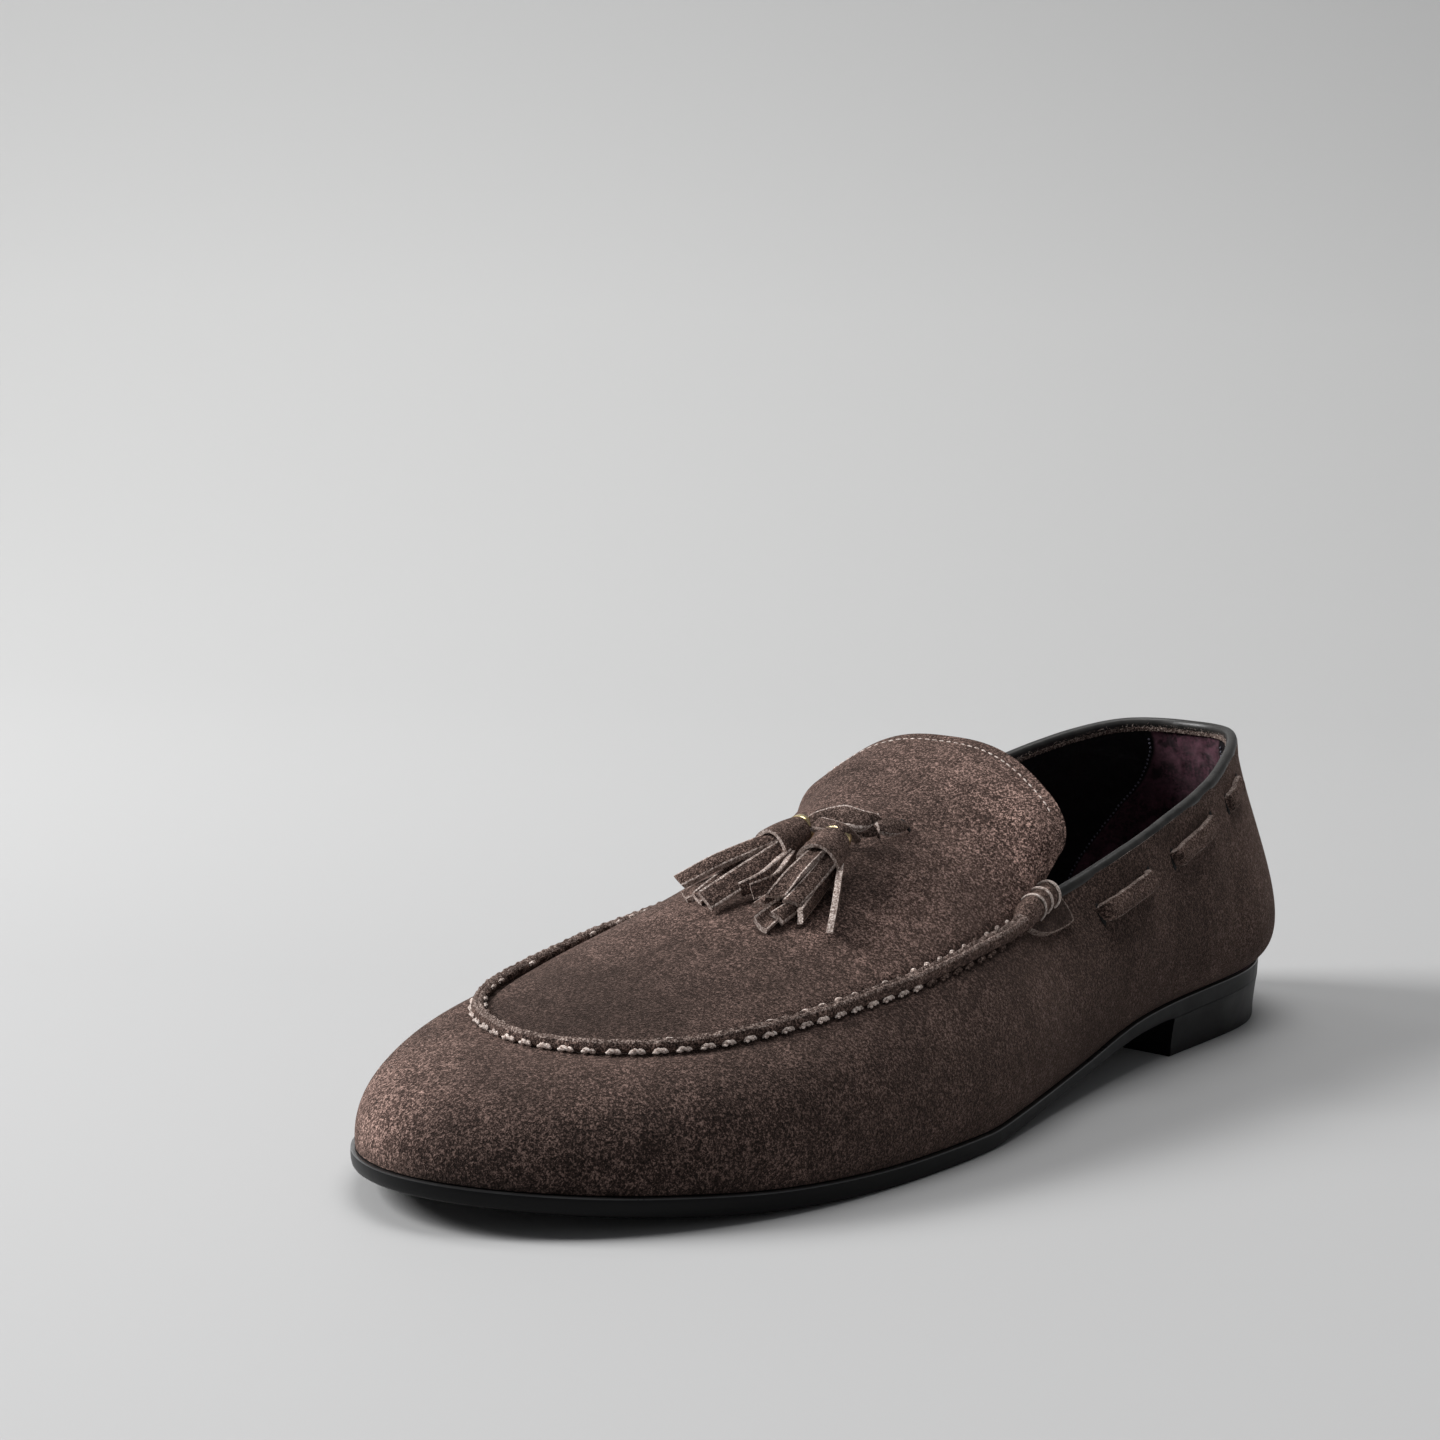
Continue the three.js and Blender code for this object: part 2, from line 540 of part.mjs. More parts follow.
// A flat piece lying on the wall, between an upper and a lower edge that run along it
function patch(fromU, toU, upperEdge, lowerEdge, depth) {
  const sheet = (lift) =>
    grid(steps(8), steps(2), (t, across) => {
      const { point, out } = belowEdge(mix(fromU, toU, t), mix(upperEdge(t), lowerEdge(t), across));
      return point.clone().addScaledVector(out, lift);
    });
  return between(sheet(GAP + depth), sheet(GAP));
}
function rimU(s) {
  let [low, high] = [0, throatU];
  for (let i = 0; i < 40; i++) {
    const middle = (low + high) / 2;
    if (rimS(middle) < s) low = middle;
    else high = middle;
  }
  return low;
}
function laceBar({ at, below }, side) {
  const [from, to] = [at * LENGTH - LACE_SHOWING / 2, at * LENGTH + LACE_SHOWING / 2].map(rimU);
  const half = (t) => (LACE_WIDTH / 2) * (1 - Math.abs(2 * t - 1) ** 10 * 0.35);
  const middle = below * LACE_WIDTH;
  const edges = [(t) => middle - half(t), (t) => middle + half(t)];
  return patch(side * from, side * to, ...edges, LACE_THICKNESS);
}
function seamPatch(side) {
  const middle = throatU * 2 * halfRound;
  const [from, to] = [middle + PATCH_LENGTH * 0.78, middle - PATCH_LENGTH * 0.22].map((p) => p / (2 * halfRound));
  const lower = monotone(PATCH.map((r) => r.t), PATCH.map((r) => r.deep * PATCH_DEPTH));
  const upper = () => SEAM_RADIUS + 3 * GAP;
  return patch(side * from, side * to, upper, lower, PATCH_THICKNESS);
}

// The apron's face over a plan place
function apronAt(x, s) {
  let [low, high] = [0, 1];
  for (let i = 0; i < 40; i++) {
    const middle = (low + high) / 2;
    if (apronPoint(middle, 0).y < LENGTH / 2 - s) low = middle;
    else high = middle;
  }
  const a = low;
  [low, high] = [-1, 1];
  for (let i = 0; i < 40; i++) {
    const middle = (low + high) / 2;
    if (apronPoint(a, middle).x < x) low = middle;
    else high = middle;
  }
  return apronPoint(a, low);
}
function apronNormal(x, s) {
  const d = 0.5;
  const across = apronAt(x + d, s).sub(apronAt(x - d, s));
  const along = apronAt(x, s - d).sub(apronAt(x, s + d));
  return across.cross(along).normalize();
}
// The point itself, or where it would rest if it is nearer to the apron than the clearance
function rested(point, clearance) {
  const s = LENGTH / 2 - point.y;
  const face = apronAt(point.x, s);
  const normal = apronNormal(point.x, s);
  const height = point.clone().sub(face).dot(normal);
  return height < clearance ? point.clone().addScaledVector(normal, clearance - height) : point;
}

// A flat strip along a path, with the given direction across it at each point
function strap(path, acrossAt, width, depth) {
  return sweep(
    path.map((point, i) => {
      const before = path[Math.max(0, i - 1)];
      const next = path[Math.min(path.length - 1, i + 1)];
      const along = next.clone().sub(before).normalize();
      const across = acrossAt(i);
      across.addScaledVector(along, -across.dot(along)).normalize();
      const up = new THREE.Vector3().crossVectors(across, along).normalize();
      const corners = [[1, 1], [-1, 1], [-1, -1], [1, -1]];
      return corners.map(([a, b]) =>
        point.clone().addScaledVector(across, (a * width) / 2).addScaledVector(up, (b * depth) / 2),
      );
    }),
  );
}
function tasselFrame({ x, at, endX, endAt }) {
  const over = (px, s, height) => apronAt(px, s).addScaledVector(apronNormal(px, s), height);
  const start = over(x * BALL_WIDTH, at * LENGTH, CAP_RADIUS + GAP);
  const end = over(endX * BALL_WIDTH, endAt * LENGTH, STRIP_WIDTH);
  const along = end.clone().sub(start).normalize();
  const up = apronNormal(((x + endX) / 2) * BALL_WIDTH, ((at + endAt) / 2) * LENGTH);
  const side = new THREE.Vector3().crossVectors(along, up).normalize();
  return { start, along, side, up: new THREE.Vector3().crossVectors(side, along).normalize() };
}
// A turned shape along a tassel's axis, from pairs of distance and radius
function turned({ start, along, side, up }, profile) {
  const turns = steps(14).slice(0, -1).map((t) => t * 2 * Math.PI);
  return profile.map(([distance, radius]) =>
    turns.map((t) =>
      start
        .clone()
        .addScaledVector(along, distance)
        .addScaledVector(side, radius * Math.cos(t))
        .addScaledVector(up, radius * Math.sin(t)),
    ),
  );
}
function tassel(lay) {
  const frame = tasselFrame(lay);
  const { start, along, side, up } = frame;
  const cap = [
    [0, NECK_RADIUS],
    [NECK_LENGTH, NECK_RADIUS],
    [NECK_LENGTH + 0.01, RING_RADIUS],
    [CAP_LENGTH * 0.45, CAP_RADIUS * 0.96],
    [CAP_LENGTH, CAP_RADIUS],
  ];
  const strips = STRIPS.map(({ round, spread, reach, lift, roll }) => {
    const turn = (round * Math.PI) / 180;
    const tip = (roll * Math.PI) / 180;
    const out = side.clone().multiplyScalar(Math.cos(turn)).addScaledVector(up, Math.sin(turn));
    const from = start.clone().addScaledVector(along, CAP_LENGTH * 0.6).addScaledVector(out, CAP_RADIUS * 0.45);
    const leave = from.clone().addScaledVector(along, CAP_LENGTH * 0.8).addScaledVector(out, CAP_RADIUS * 0.2);
    const end = start
      .clone()
      .addScaledVector(along, CAP_LENGTH + STRIP_LENGTH * reach)
      .addScaledVector(side, STRIP_LENGTH * spread)
      .addScaledVector(up, lift * STRIP_WIDTH - STRIP_WIDTH);
    const standing = (STRIP_WIDTH / 2) * Math.abs(Math.sin(tip)) + (STRIP_THICKNESS / 2) * Math.cos(tip);
    const clear = GAP * 1.5 + standing + lift * STRIP_WIDTH * 0.5;
    const path = new THREE.QuadraticBezierCurve3(from, leave, end).getPoints(6);
    const laid = path.map((point) => rested(point, clear));
    const across = () => side.clone().multiplyScalar(Math.cos(tip)).addScaledVector(up, Math.sin(tip));
    return strap(laid, across, STRIP_WIDTH, STRIP_THICKNESS);
  });
  return join(sweep(turned(frame, cap)), ...strips);
}
function tasselRing(lay) {
  const inner = NECK_RADIUS + GAP;
  const [from, to] = [GAP / 2, NECK_LENGTH - GAP];
  const rings = turned(tasselFrame(lay), [[from, inner], [from, RING_RADIUS * 0.95], [to, RING_RADIUS], [to, inner]]);
  return outward(weld(quads([...rings, rings[0]], true)));
}
// The lace through the apron, tied over itself, with a short end to each tassel
function knot() {
  const s = KNOT_AT * LENGTH;
  const middleX = KNOT_X * BALL_WIDTH;
  const uphill = (x, at) => apronAt(x, at - 1).sub(apronAt(x, at + 1));
  const over = (x, at, height) => apronAt(x, at).addScaledVector(apronNormal(x, at), height);
  const flat = 2 * GAP + LACE_THICKNESS / 2;
  const spread = steps(12).map((t) => {
    const arch = Math.sin(Math.PI * t) ** 1.5;
    return { x: middleX + (t - 0.5) * KNOT_SPAN, at: s + KNOT_SWEEP * (arch - 1), arch };
  });
  const path = spread.map(({ x, at, arch }) => over(x, at, flat + (KNOT_RISE - LACE_THICKNESS) * arch));
  const span = strap(path, (i) => uphill(spread[i].x, spread[i].at), LACE_WIDTH * 1.15, LACE_THICKNESS);
  const band = LACE_THICKNESS * 1.4;
  const centre = over(middleX, s, 2 * GAP + band / 2 + KNOT_RISE / 2);
  const [along, up] = [uphill(middleX, s).normalize(), apronNormal(middleX, s)];
  const loopPath = steps(14).map((t) => {
    const turn = t * 2 * Math.PI;
    const out = centre.clone().addScaledVector(along, Math.cos(turn) * LACE_WIDTH * 0.85);
    return out.addScaledVector(up, (Math.sin(turn) * KNOT_RISE) / 2);
  });
  const around = strap(loopPath.slice(0, -1), () => vec(1, 0, 0), LACE_WIDTH, band);
  const ends = TASSELS.map((lay) => {
    const frame = tasselFrame(lay);
    const target = frame.start.clone().addScaledVector(frame.along, -GAP);
    const bend = target.clone().addScaledVector(frame.along, -3);
    const points = new THREE.QuadraticBezierCurve3(centre, bend, target).getPoints(6);
    return strap(points, () => frame.side.clone(), LACE_WIDTH * 0.9, LACE_THICKNESS * 1.6);
  });
  return join(span, around, ...ends);
}

add("outsole", outsole(), soleBlack);
add("heel", heel(), soleBlack);
add("insole", insole(), sockLeather);
add("upper", upper(), suede);
add("topline_binding", binding(), blackLeather);
for (const [side, word] of [[1, "outer"], [-1, "inner"]]) {
  for (const lace of LACES) add(`lace_bar_${word}_${lace.name}`, laceBar(lace, side), suede);
  add(`seam_patch_${word}`, seamPatch(side), suede);
}
add("tassel_knot", knot(), suede);
for (const lay of TASSELS) {
  add(`tassel_${lay.name}`, tassel(lay), suede);
  add(`tassel_ring_${lay.name}`, tasselRing(lay), brass);
}

// The part's frame: the middle of its length and width, at the floor
const bounds = new THREE.Box3().setFromObject(loafer);
const middle = bounds.getCenter(vec(0, 0, 0));
for (const piece of loafer.children) piece.geometry.translate(-middle.x, -middle.y, -bounds.min.z);

export default loafer;
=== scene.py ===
"""Suede tassel loafer for the left foot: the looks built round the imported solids.

Shoe sizes are in millimetres. x runs to the outer side of the foot, s is the distance from the back of the
heel, and z is the height over the floor. to_frame() turns them into the row's frame, in metres.
"""

import math

import bmesh
import bpy
import numpy as np
from mathutils import Matrix, Vector


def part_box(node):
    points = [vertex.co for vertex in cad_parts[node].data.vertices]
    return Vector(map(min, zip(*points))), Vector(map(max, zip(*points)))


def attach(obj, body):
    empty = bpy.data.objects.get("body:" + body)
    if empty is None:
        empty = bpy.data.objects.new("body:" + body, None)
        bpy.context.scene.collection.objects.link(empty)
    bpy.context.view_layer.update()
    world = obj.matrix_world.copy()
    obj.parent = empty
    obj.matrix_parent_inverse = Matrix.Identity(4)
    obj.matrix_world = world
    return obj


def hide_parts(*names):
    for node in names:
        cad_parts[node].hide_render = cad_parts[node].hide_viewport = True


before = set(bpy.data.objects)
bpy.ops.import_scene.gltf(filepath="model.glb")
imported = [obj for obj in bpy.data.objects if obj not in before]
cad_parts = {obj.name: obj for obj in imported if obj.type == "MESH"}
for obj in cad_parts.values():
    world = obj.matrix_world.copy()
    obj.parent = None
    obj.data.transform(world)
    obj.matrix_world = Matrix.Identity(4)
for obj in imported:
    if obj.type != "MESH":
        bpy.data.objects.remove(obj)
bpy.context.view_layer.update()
rng = np.random.default_rng(7)

# Sizes of the last and of the pieces
LENGTH = 298.0
BALL_WIDTH = 103.0
HEEL_WIDTH = 69.0
BACK_HEIGHT = 69.5
INSTEP_HEIGHT = 78.0
SOLE_THICKNESS = 4.2
WAIST_THICKNESS = 3.3
SOLE_UNDERCUT = 0.4
HEEL_HEIGHT = 10.0
HEEL_LENGTH = 74.5
HEEL_TAPER = 0.5
TOE_SPRING = 6.8
SOLE_LEDGE = 0.9
WALL = 2.2
SUEDE = 1.3
INSOLE_THICKNESS = 2.6
GAP = 0.3
BINDING_HEIGHT = 3.2
BINDING_SETBACK = 3.6
SUEDE_COVER = 1.8
TONGUE_REACH = 13.5
TONGUE_RISE = 5.0
TONGUE_FLARE = 3.2
TONGUE_SQUARENESS = 2.6
LACE_WIDTH = 4.2
LACE_THICKNESS = 1.25
LACE_SLANT = 0.9
STITCH_PITCH = 4.7
STITCH_START = 13.0
RIDGE_SLIM = 1.3
RIDGE_MIDDLE = 1.7
RIDGE_BOUND = 3.0
RIDGE_RAISED = 0.66
PIPING_SINK = 1.8
PIPING_SINK_LENGTH = 28.0
TAB_PUFF = 1.6
WRAPS = 3
WRAP_START = 1.4
WRAP_STEP = 4.5
GROOVE_DEPTH = 0.75
GROOVE_INSET = 2.3
TONGUE_STITCH_INSET = 2.9
TONGUE_STITCH_PITCH = 2.05
LINING_STITCHES = 40
TAB_FRONT = 142.5
TAB_BACK = 124.4
STRIP_THICKNESS = 1.4
CAP_THICKNESS = 0.95
CAP_TURNS = 1.13

# Ribs from the back of the heel to the toe: stations and half widths of the sole's edge and of the top edge,
# the top edge's height, and how the wall swells between them, as shares of the sizes above
RIB_NAMES = "at out inn rim rim_out rim_in rim_z swell belly shoulder full".split()
RIBS = [
    (0.0, 0.0, 0.0, 0.029, 0.0, 0.0, 1.006, 0.122, 0.12, 0.004, 0.4),
    (0.012, 0.178, 0.178, 0.035, 0.092, 0.092, 1.006, 0.122, 0.12, 0.004, 0.4),
    (0.04, 0.335, 0.335, 0.06, 0.176, 0.176, 0.999, 0.122, 0.12, 0.004, 0.4),
    (0.09, 0.455, 0.445, 0.11, 0.25, 0.25, 0.958, 0.118, 0.14, 0.006, 0.4),
    (0.16, 0.507, 0.49, 0.175, 0.306, 0.306, 0.888, 0.098, 0.2, 0.012, 0.42),
    (0.25, 0.526, 0.45, 0.26, 0.335, 0.335, 0.8, 0.073, 0.3, 0.018, 0.45),
    (0.335, 0.515, 0.375, 0.343, 0.345, 0.345, 0.72, 0.063, 0.42, 0.021, 0.5),
    (0.42, 0.5, 0.33, 0.43, 0.326, 0.326, 0.652, 0.06, 0.48, 0.021, 0.5),
    (0.5, 0.5, 0.315, 0.49, 0.368, 0.366, 0.602, 0.06, 0.5, 0.021, 0.5),
    (0.58, 0.515, 0.365, 0.563, 0.397, 0.39, 0.558, 0.055, 0.52, 0.019, 0.52),
    (0.65, 0.525, 0.425, 0.633, 0.399, 0.395, 0.522, 0.045, 0.55, 0.016, 0.55),
    (0.72, 0.522, 0.465, 0.7, 0.382, 0.385, 0.492, 0.035, 0.58, 0.012, 0.58),
    (0.79, 0.498, 0.462, 0.762, 0.35, 0.355, 0.466, 0.027, 0.6, 0.009, 0.6),
    (0.86, 0.436, 0.422, 0.815, 0.298, 0.303, 0.448, 0.02, 0.62, 0.007, 0.62),
    (0.92, 0.342, 0.338, 0.848, 0.223, 0.227, 0.436, 0.015, 0.62, 0.005, 0.62),
    (0.965, 0.23, 0.23, 0.866, 0.145, 0.148, 0.43, 0.012, 0.62, 0.004, 0.62),
    (0.991, 0.117, 0.117, 0.875, 0.073, 0.074, 0.427, 0.01, 0.62, 0.004, 0.62),
    (1.0, 0.0, 0.0, 0.878, 0.0, 0.0, 0.426, 0.01, 0.62, 0.004, 0.62),
]
THROAT_ROW = 7
# Underside of the sole: station, share of HEEL_HEIGHT, share of TOE_SPRING
UNDERSIDE = [
    (0, 1.27, 0),
    (0.1, 1.08, 0),
    (0.2, 1, 0),
    (0.3, 0.9, 0),
    (0.42, 0.47, 0),
    (0.53, 0.14, 0),
    (0.59, 0, 0),
    (0.68, 0, 0),
    (0.8, 0, 0.15),
    (0.9, 0, 0.48),
    (1, 0, 1),
]
# Centre line of the apron: station, height, flat, steep, lean
INSTEP = [
    (0.4, 0.955, 2.8, 2.5, 0.045),
    (0.42, 0.945, 2.8, 2.4, 0.043),
    (0.455, 0.893, 2.6, 1.55, 0.041),
    (0.49, 0.84, 2.4, 1.15, 0.038),
    (0.563, 0.75, 2.1, 1.05, 0.028),
    (0.633, 0.66, 2, 1, 0.02),
    (0.7, 0.58, 2, 1, 0.012),
    (0.762, 0.51, 2, 1, 0.006),
    (0.815, 0.455, 2, 1, 0.002),
    (0.848, 0.415, 2, 1, 0),
    (0.878, 0.38, 2, 1, 0),
]
# Laces: name, station, how far their middle is under the collar's edge, reach forward and back, how much
# lower the front end and the back end are, and how far the lace stands out
LACES = [
    ("front", 0.338, 7.1, 11.5, 11.0, 1.3, -0.3, 1.6),
    ("middle", 0.222, 6.3, 11.2, 11.2, 0.7, -0.3, 1.5),
    ("back", 0.118, 5.7, 9.0, 4.2, 0.4, 0.0, 0.9),
]


# Small helpers
def mix(a, b, t):
    return a + (b - a) * t


def ease(low, high, x):
    t = np.clip((x - low) / (high - low), 0, 1)
    return t * t * (3 - 2 * t)


def unit(v):
    return v / np.maximum(np.linalg.norm(v, axis=-1, keepdims=True), 1e-12)


def dot(a, b):
    return (a * b).sum(-1, keepdims=True)


def bump_at(x, middle, spread):
    return np.exp(-(((x - middle) / spread) ** 2))


def steps_along(path):
    """How far each point of a path is from its start."""
    return np.concatenate([[0], np.cumsum(np.linalg.norm(np.diff(path, axis=0), axis=1))])


def monotone(rows, column, scale=1.0):
    """A curve through a column of a table that never overshoots."""
    xs = np.array([r[0] for r in rows], float) * LENGTH
    ys = np.array([r[column] for r in rows], float) * scale
    return monotone_through(xs, ys)


def monotone_through(xs, ys):
    h = np.diff(xs)
    slope = np.diff(ys) / h
    tangent = np.zeros(len(xs))
    tangent[0], tangent[-1] = slope[0], slope[-1]
    for i in range(1, len(xs) - 1):
        a, b = slope[i - 1], slope[i]
        tangent[i] = 0 if a * b <= 0 else 2 * a * b / (a + b)

    def curve(x):
        x = np.clip(x, xs[0], xs[-1])
        i = np.clip(np.searchsorted(xs, x, side="right") - 1, 0, len(h) - 1)
        t = (x - xs[i]) / h[i]
        start = (1 + 2 * t) * (1 - t) ** 2 * ys[i] + t * (1 - t) ** 2 * h[i] * tangent[i]
        return start + t * t * (3 - 2 * t) * ys[i + 1] + t * t * (t - 1) * h[i] * tangent[i + 1]

    return curve


def closed_spline(places, values, around):
    """A smooth closed curve through values at places round a loop."""
    n = len(places)
    h = np.diff(np.append(places, places[0] + around))
    matrix = np.zeros((n, n))
    right = np.zeros(n)
    for i in range(n):
        before, after = (i - 1) % n, (i + 1) % n
        matrix[i, before] += h[before]
        matrix[i, i] += 2 * (h[before] + h[i])
        matrix[i, after] += h[i]
        right[i] = 6 * ((values[after] - values[i]) / h[i] - (values[i] - values[before]) / h[before])
    bend = np.linalg.solve(matrix, right)

    def curve(u):
        where = np.mod(u, 1) * around
        i = np.clip(np.searchsorted(places, where, side="right") - 1, 0, n - 1)
        after = (i + 1) % n
        b = (where - places[i]) / h[i]
        a = 1 - b
        bulge = ((a**3 - a) * bend[i] + (b**3 - b) * bend[after]) * h[i] ** 2 / 6
        return a * values[i] + b * values[after] + bulge

    return curve


# Loops round the shoe: u is 0 at the back of the heel, 0.5 at the toe, and runs along the outer side first
RIB = dict(zip(RIB_NAMES, np.array(RIBS).T))
rib_width = mix(HEEL_WIDTH, BALL_WIDTH, ease(0.2, 0.62, RIB["at"]))
rib_across = (RIB["out"] + RIB["inn"]) / 2 * rib_width
rib_steps = np.hypot(np.diff(rib_across), np.diff(RIB["at"]) * LENGTH)
rib_places = np.concatenate([[0], np.cumsum(rib_steps)])
HALF_ROUND = rib_places[-1]
loop_places = np.concatenate([rib_places, (2 * HALF_ROUND - rib_places)[-2:0:-1]])


def loop(outer, inner=None):
    inner = outer if inner is None else inner
    return closed_spline(loop_places, np.concatenate([outer, inner[-2:0:-1]]), 2 * HALF_ROUND)


edge_x = loop(RIB["out"] * rib_width, -RIB["inn"] * rib_width)
edge_s = loop(RIB["at"] * LENGTH)
rim_x = loop(RIB["rim_out"] * BALL_WIDTH, -RIB["rim_in"] * BALL_WIDTH)
rim_s = loop(RIB["rim"] * LENGTH)
rim_z = loop(RIB["rim_z"] * BACK_HEIGHT)
swell_of = loop(RIB["swell"] * BALL_WIDTH)
belly_of = loop(RIB["belly"])
shoulder_of = loop(RIB["shoulder"] * BALL_WIDTH)
full_of = loop(RIB["full"])
THROAT_U = rib_places[THROAT_ROW] / (2 * HALF_ROUND)
THROAT_S = RIB["rim"][THROAT_ROW] * LENGTH

underside = monotone_through(
    np.array([r[0] for r in UNDERSIDE], float) * LENGTH,
    np.array([r[1] * HEEL_HEIGHT + r[2] * TOE_SPRING for r in UNDERSIDE], float),
)
thickness = monotone_through(
    np.array([0, 0.22, 0.45, 0.62, 0.85, 1]) * LENGTH,
    np.array([1, 1, WAIST_THICKNESS / SOLE_THICKNESS, 1, 1, 0.8]) * SOLE_THICKNESS,
)


def from_heel(u):
    """The share of the loop to the back of the heel, by either side."""
    u = np.mod(u, 1)
    return np.minimum(u, 1 - u)


def sole_top(s):
    return underside(s) + thickness(s)


def at(x, s, z):
    """Shoe sizes as one array of points with the last axis x, s, z."""
    return np.stack(np.broadcast_arrays(x, s, z), axis=-1).astype(float)


def sole_edge(u, inset=0.0):
    d = 1e-4
    tx = edge_x(u + d) - edge_x(u - d)
    ts = edge_s(u + d) - edge_s(u - d)
    size = np.hypot(tx, ts)
    nx, ns = ts / size, -tx / size
    return edge_x(u) - nx * inset, edge_s(u) - ns * inset, nx, ns


def wall_point(u, v):
    """The outer face of the wall: v is 0 at the sole and 1 at the top edge."""
    u, v = np.broadcast_arrays(np.asarray(u, float), np.asarray(v, float))
    x, s, nx, ns = sole_edge(u, SOLE_LEDGE)
    low = at(x, s, sole_top(s) + GAP)
    top = at(rim_x(u), rim_s(u), rim_z(u))
    out = at(nx, ns, 0)
    rise = top[..., 2:] - low[..., 2:]
    upright = at(0, 0, 1) + 0 * low
    inward = np.maximum(0, -dot(top - low, out))
    lower = low + out * swell_of(u)[..., None] + upright * rise * belly_of(u)[..., None]
    drop = mix(0.34, 0.14, ease(0.15, 0.3, from_heel(u)))
    upper = top + out * (inward * full_of(u)[..., None] + shoulder_of(u)[..., None])
    upper = upper - upright * rise * drop[..., None]
    v = v[..., None]
    return low * (1 - v) ** 3 + lower * 3 * v * (1 - v) ** 2 + upper * 3 * v * v * (1 - v) + top * v**3


def wall_frame(u, v):
    d = 1e-3
    u, v = np.broadcast_arrays(np.asarray(u, float), np.asarray(v, float))
    along = unit(wall_point(u + d, v) - wall_point(u - d, v))
    up = unit(wall_point(u, np.minimum(1, v + d)) - wall_point(u, np.maximum(0, v - d)))
    out = unit(np.cross(up, along))
    _, _, nx, ns = sole_edge(u)
    out = np.where(dot(out, at(nx, ns, 0.2)) < 0, -out, out)
    return wall_point(u, v), along, up, out


instep_height = monotone(INSTEP, 1, INSTEP_HEIGHT)
flat_of = monotone(INSTEP, 2)
steep_of = monotone(INSTEP, 3)
lean_of = monotone(INSTEP, 4, BALL_WIDTH)


def apron_point(a, across):
    """The outer face of the apron: a is 0 at its front, 1 at the throat and 2 at the tongue's end."""
    a, across = np.broadcast_arrays(np.asarray(a, float), np.asarray(across, float))
    u = mix(0.5, THROAT_U, np.minimum(a, 1))
    s, z = rim_s(u), rim_z(u)
    arch = np.maximum(0, 1 - np.abs(across) ** flat_of(s)) ** (1 / steep_of(s))
    height = z + np.maximum(0, instep_height(s) - z) * arch
    flare = 4 * TONGUE_FLARE * ease(0.5 * LENGTH, THROAT_S, s) * arch * (1 - arch)
    x = mix(rim_x(1 - u), rim_x(u), (across + 1) / 2) - lean_of(s) * arch + flare * across
    round_off = np.maximum(0, 1 - np.abs(across) ** TONGUE_SQUARENESS) ** (1 / TONGUE_SQUARENESS)
    back = np.maximum(0, a - 1) * round_off
    z = height + TONGUE_RISE * back
    border = ease(0.62, 1.0, np.abs(across)) * ease(136, THROAT_S, s)
    x = x + np.sign(across) * border * TONGUE_BORDER(z)
    return at(x, s - TONGUE_REACH * back, z)


# How far the tongue's border stands out, by its height: a neck above the seam's end and a lobe over it
TONGUE_BORDER = monotone_through(
    np.array([44.0, 47.0, 50.0, 52.0, 54.5, 57.5, 60.5, 63.0, 66.0, 69.0, 73.0, 80.0]),
    np.array([-1.2, -1.9, -2.2, -1.6, -0.6, 1.2, 2.0, 2.4, 2.5, 2.0, 0.8, 0.0]),
)
apron_u = np.linspace(0.5, THROAT_U, 400)
apron_stations = rim_s(apron_u)
across_steps = np.sin(np.linspace(-0.5, 0.5, 401) * math.pi)


def apron_at(x, s):
    """The apron's face over one plan place."""
    a = np.interp(-s, -apron_stations, np.linspace(0, 1, 400))
    row = apron_point(a, across_steps)
    across = np.interp(x, row[:, 0], across_steps)
    return apron_point(a, across)


def apron_normal(x, s):
    d = 0.6
    across = apron_at(x + d, s) - apron_at(x - d, s)
    along = apron_at(x, s + d) - apron_at(x, s - d)
    normal = unit(np.cross(across, along))
    return normal if normal[2] > 0 else -normal


def over_apron(x, s, height):
    return apron_at(x, s) + apron_normal(x, s) * height


def rim_u(s):
    """Where the top edge of the outer side reaches a station."""
    us = np.linspace(0, 0.5, 2001)
    return np.interp(s, rim_s(us), us)


def below_edge(u, distance):
    """Places on the wall, each so far under the top edge."""
    u, distance = np.broadcast_arrays(np.asarray(u, float), np.asarray(distance, float))
    top = wall_point(u, 1.0)
    low, high = np.full(u.shape, 0.2), np.ones(u.shape)
    for _ in range(26):
        middle = (low + high) / 2
        far = np.linalg.norm(wall_point(u, middle) - top, axis=-1) > distance
        low, high = np.where(far, middle, low), np.where(far, high, middle)
    return wall_frame(u, (low + high) / 2)


# The row's frame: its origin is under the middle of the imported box
outsole_low, outsole_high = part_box("outsole")
MIDDLE_Y = -LENGTH / 2 - outsole_low.y * 1000
MIDDLE_X = float(edge_x(np.linspace(0, 0.5, 4001)).max()) - outsole_high.x * 1000


def to_frame(points):
    p = np.asarray(points, float)
    turned = np.stack([p[..., 0] - MIDDLE_X, LENGTH / 2 - p[..., 1] - MIDDLE_Y, p[..., 2]], axis=-1)
    return turned / 1000


# Mesh making. A part is its points, its faces and the finish of each face. Parts are joined into one object.
def grid_faces(rows, columns, wrap=False, flip=False, start=0):
    faces = []
    for i in range(rows - 1):
        for j in range(columns if wrap else columns - 1):
            k = (j + 1) % columns
            a, b = start + i * columns + j, start + i * columns + k
            c, d = start + (i + 1) * columns + k, start + (i + 1) * columns + j
            faces.append((a, d, c, b) if flip else (a, b, c, d))
    return faces


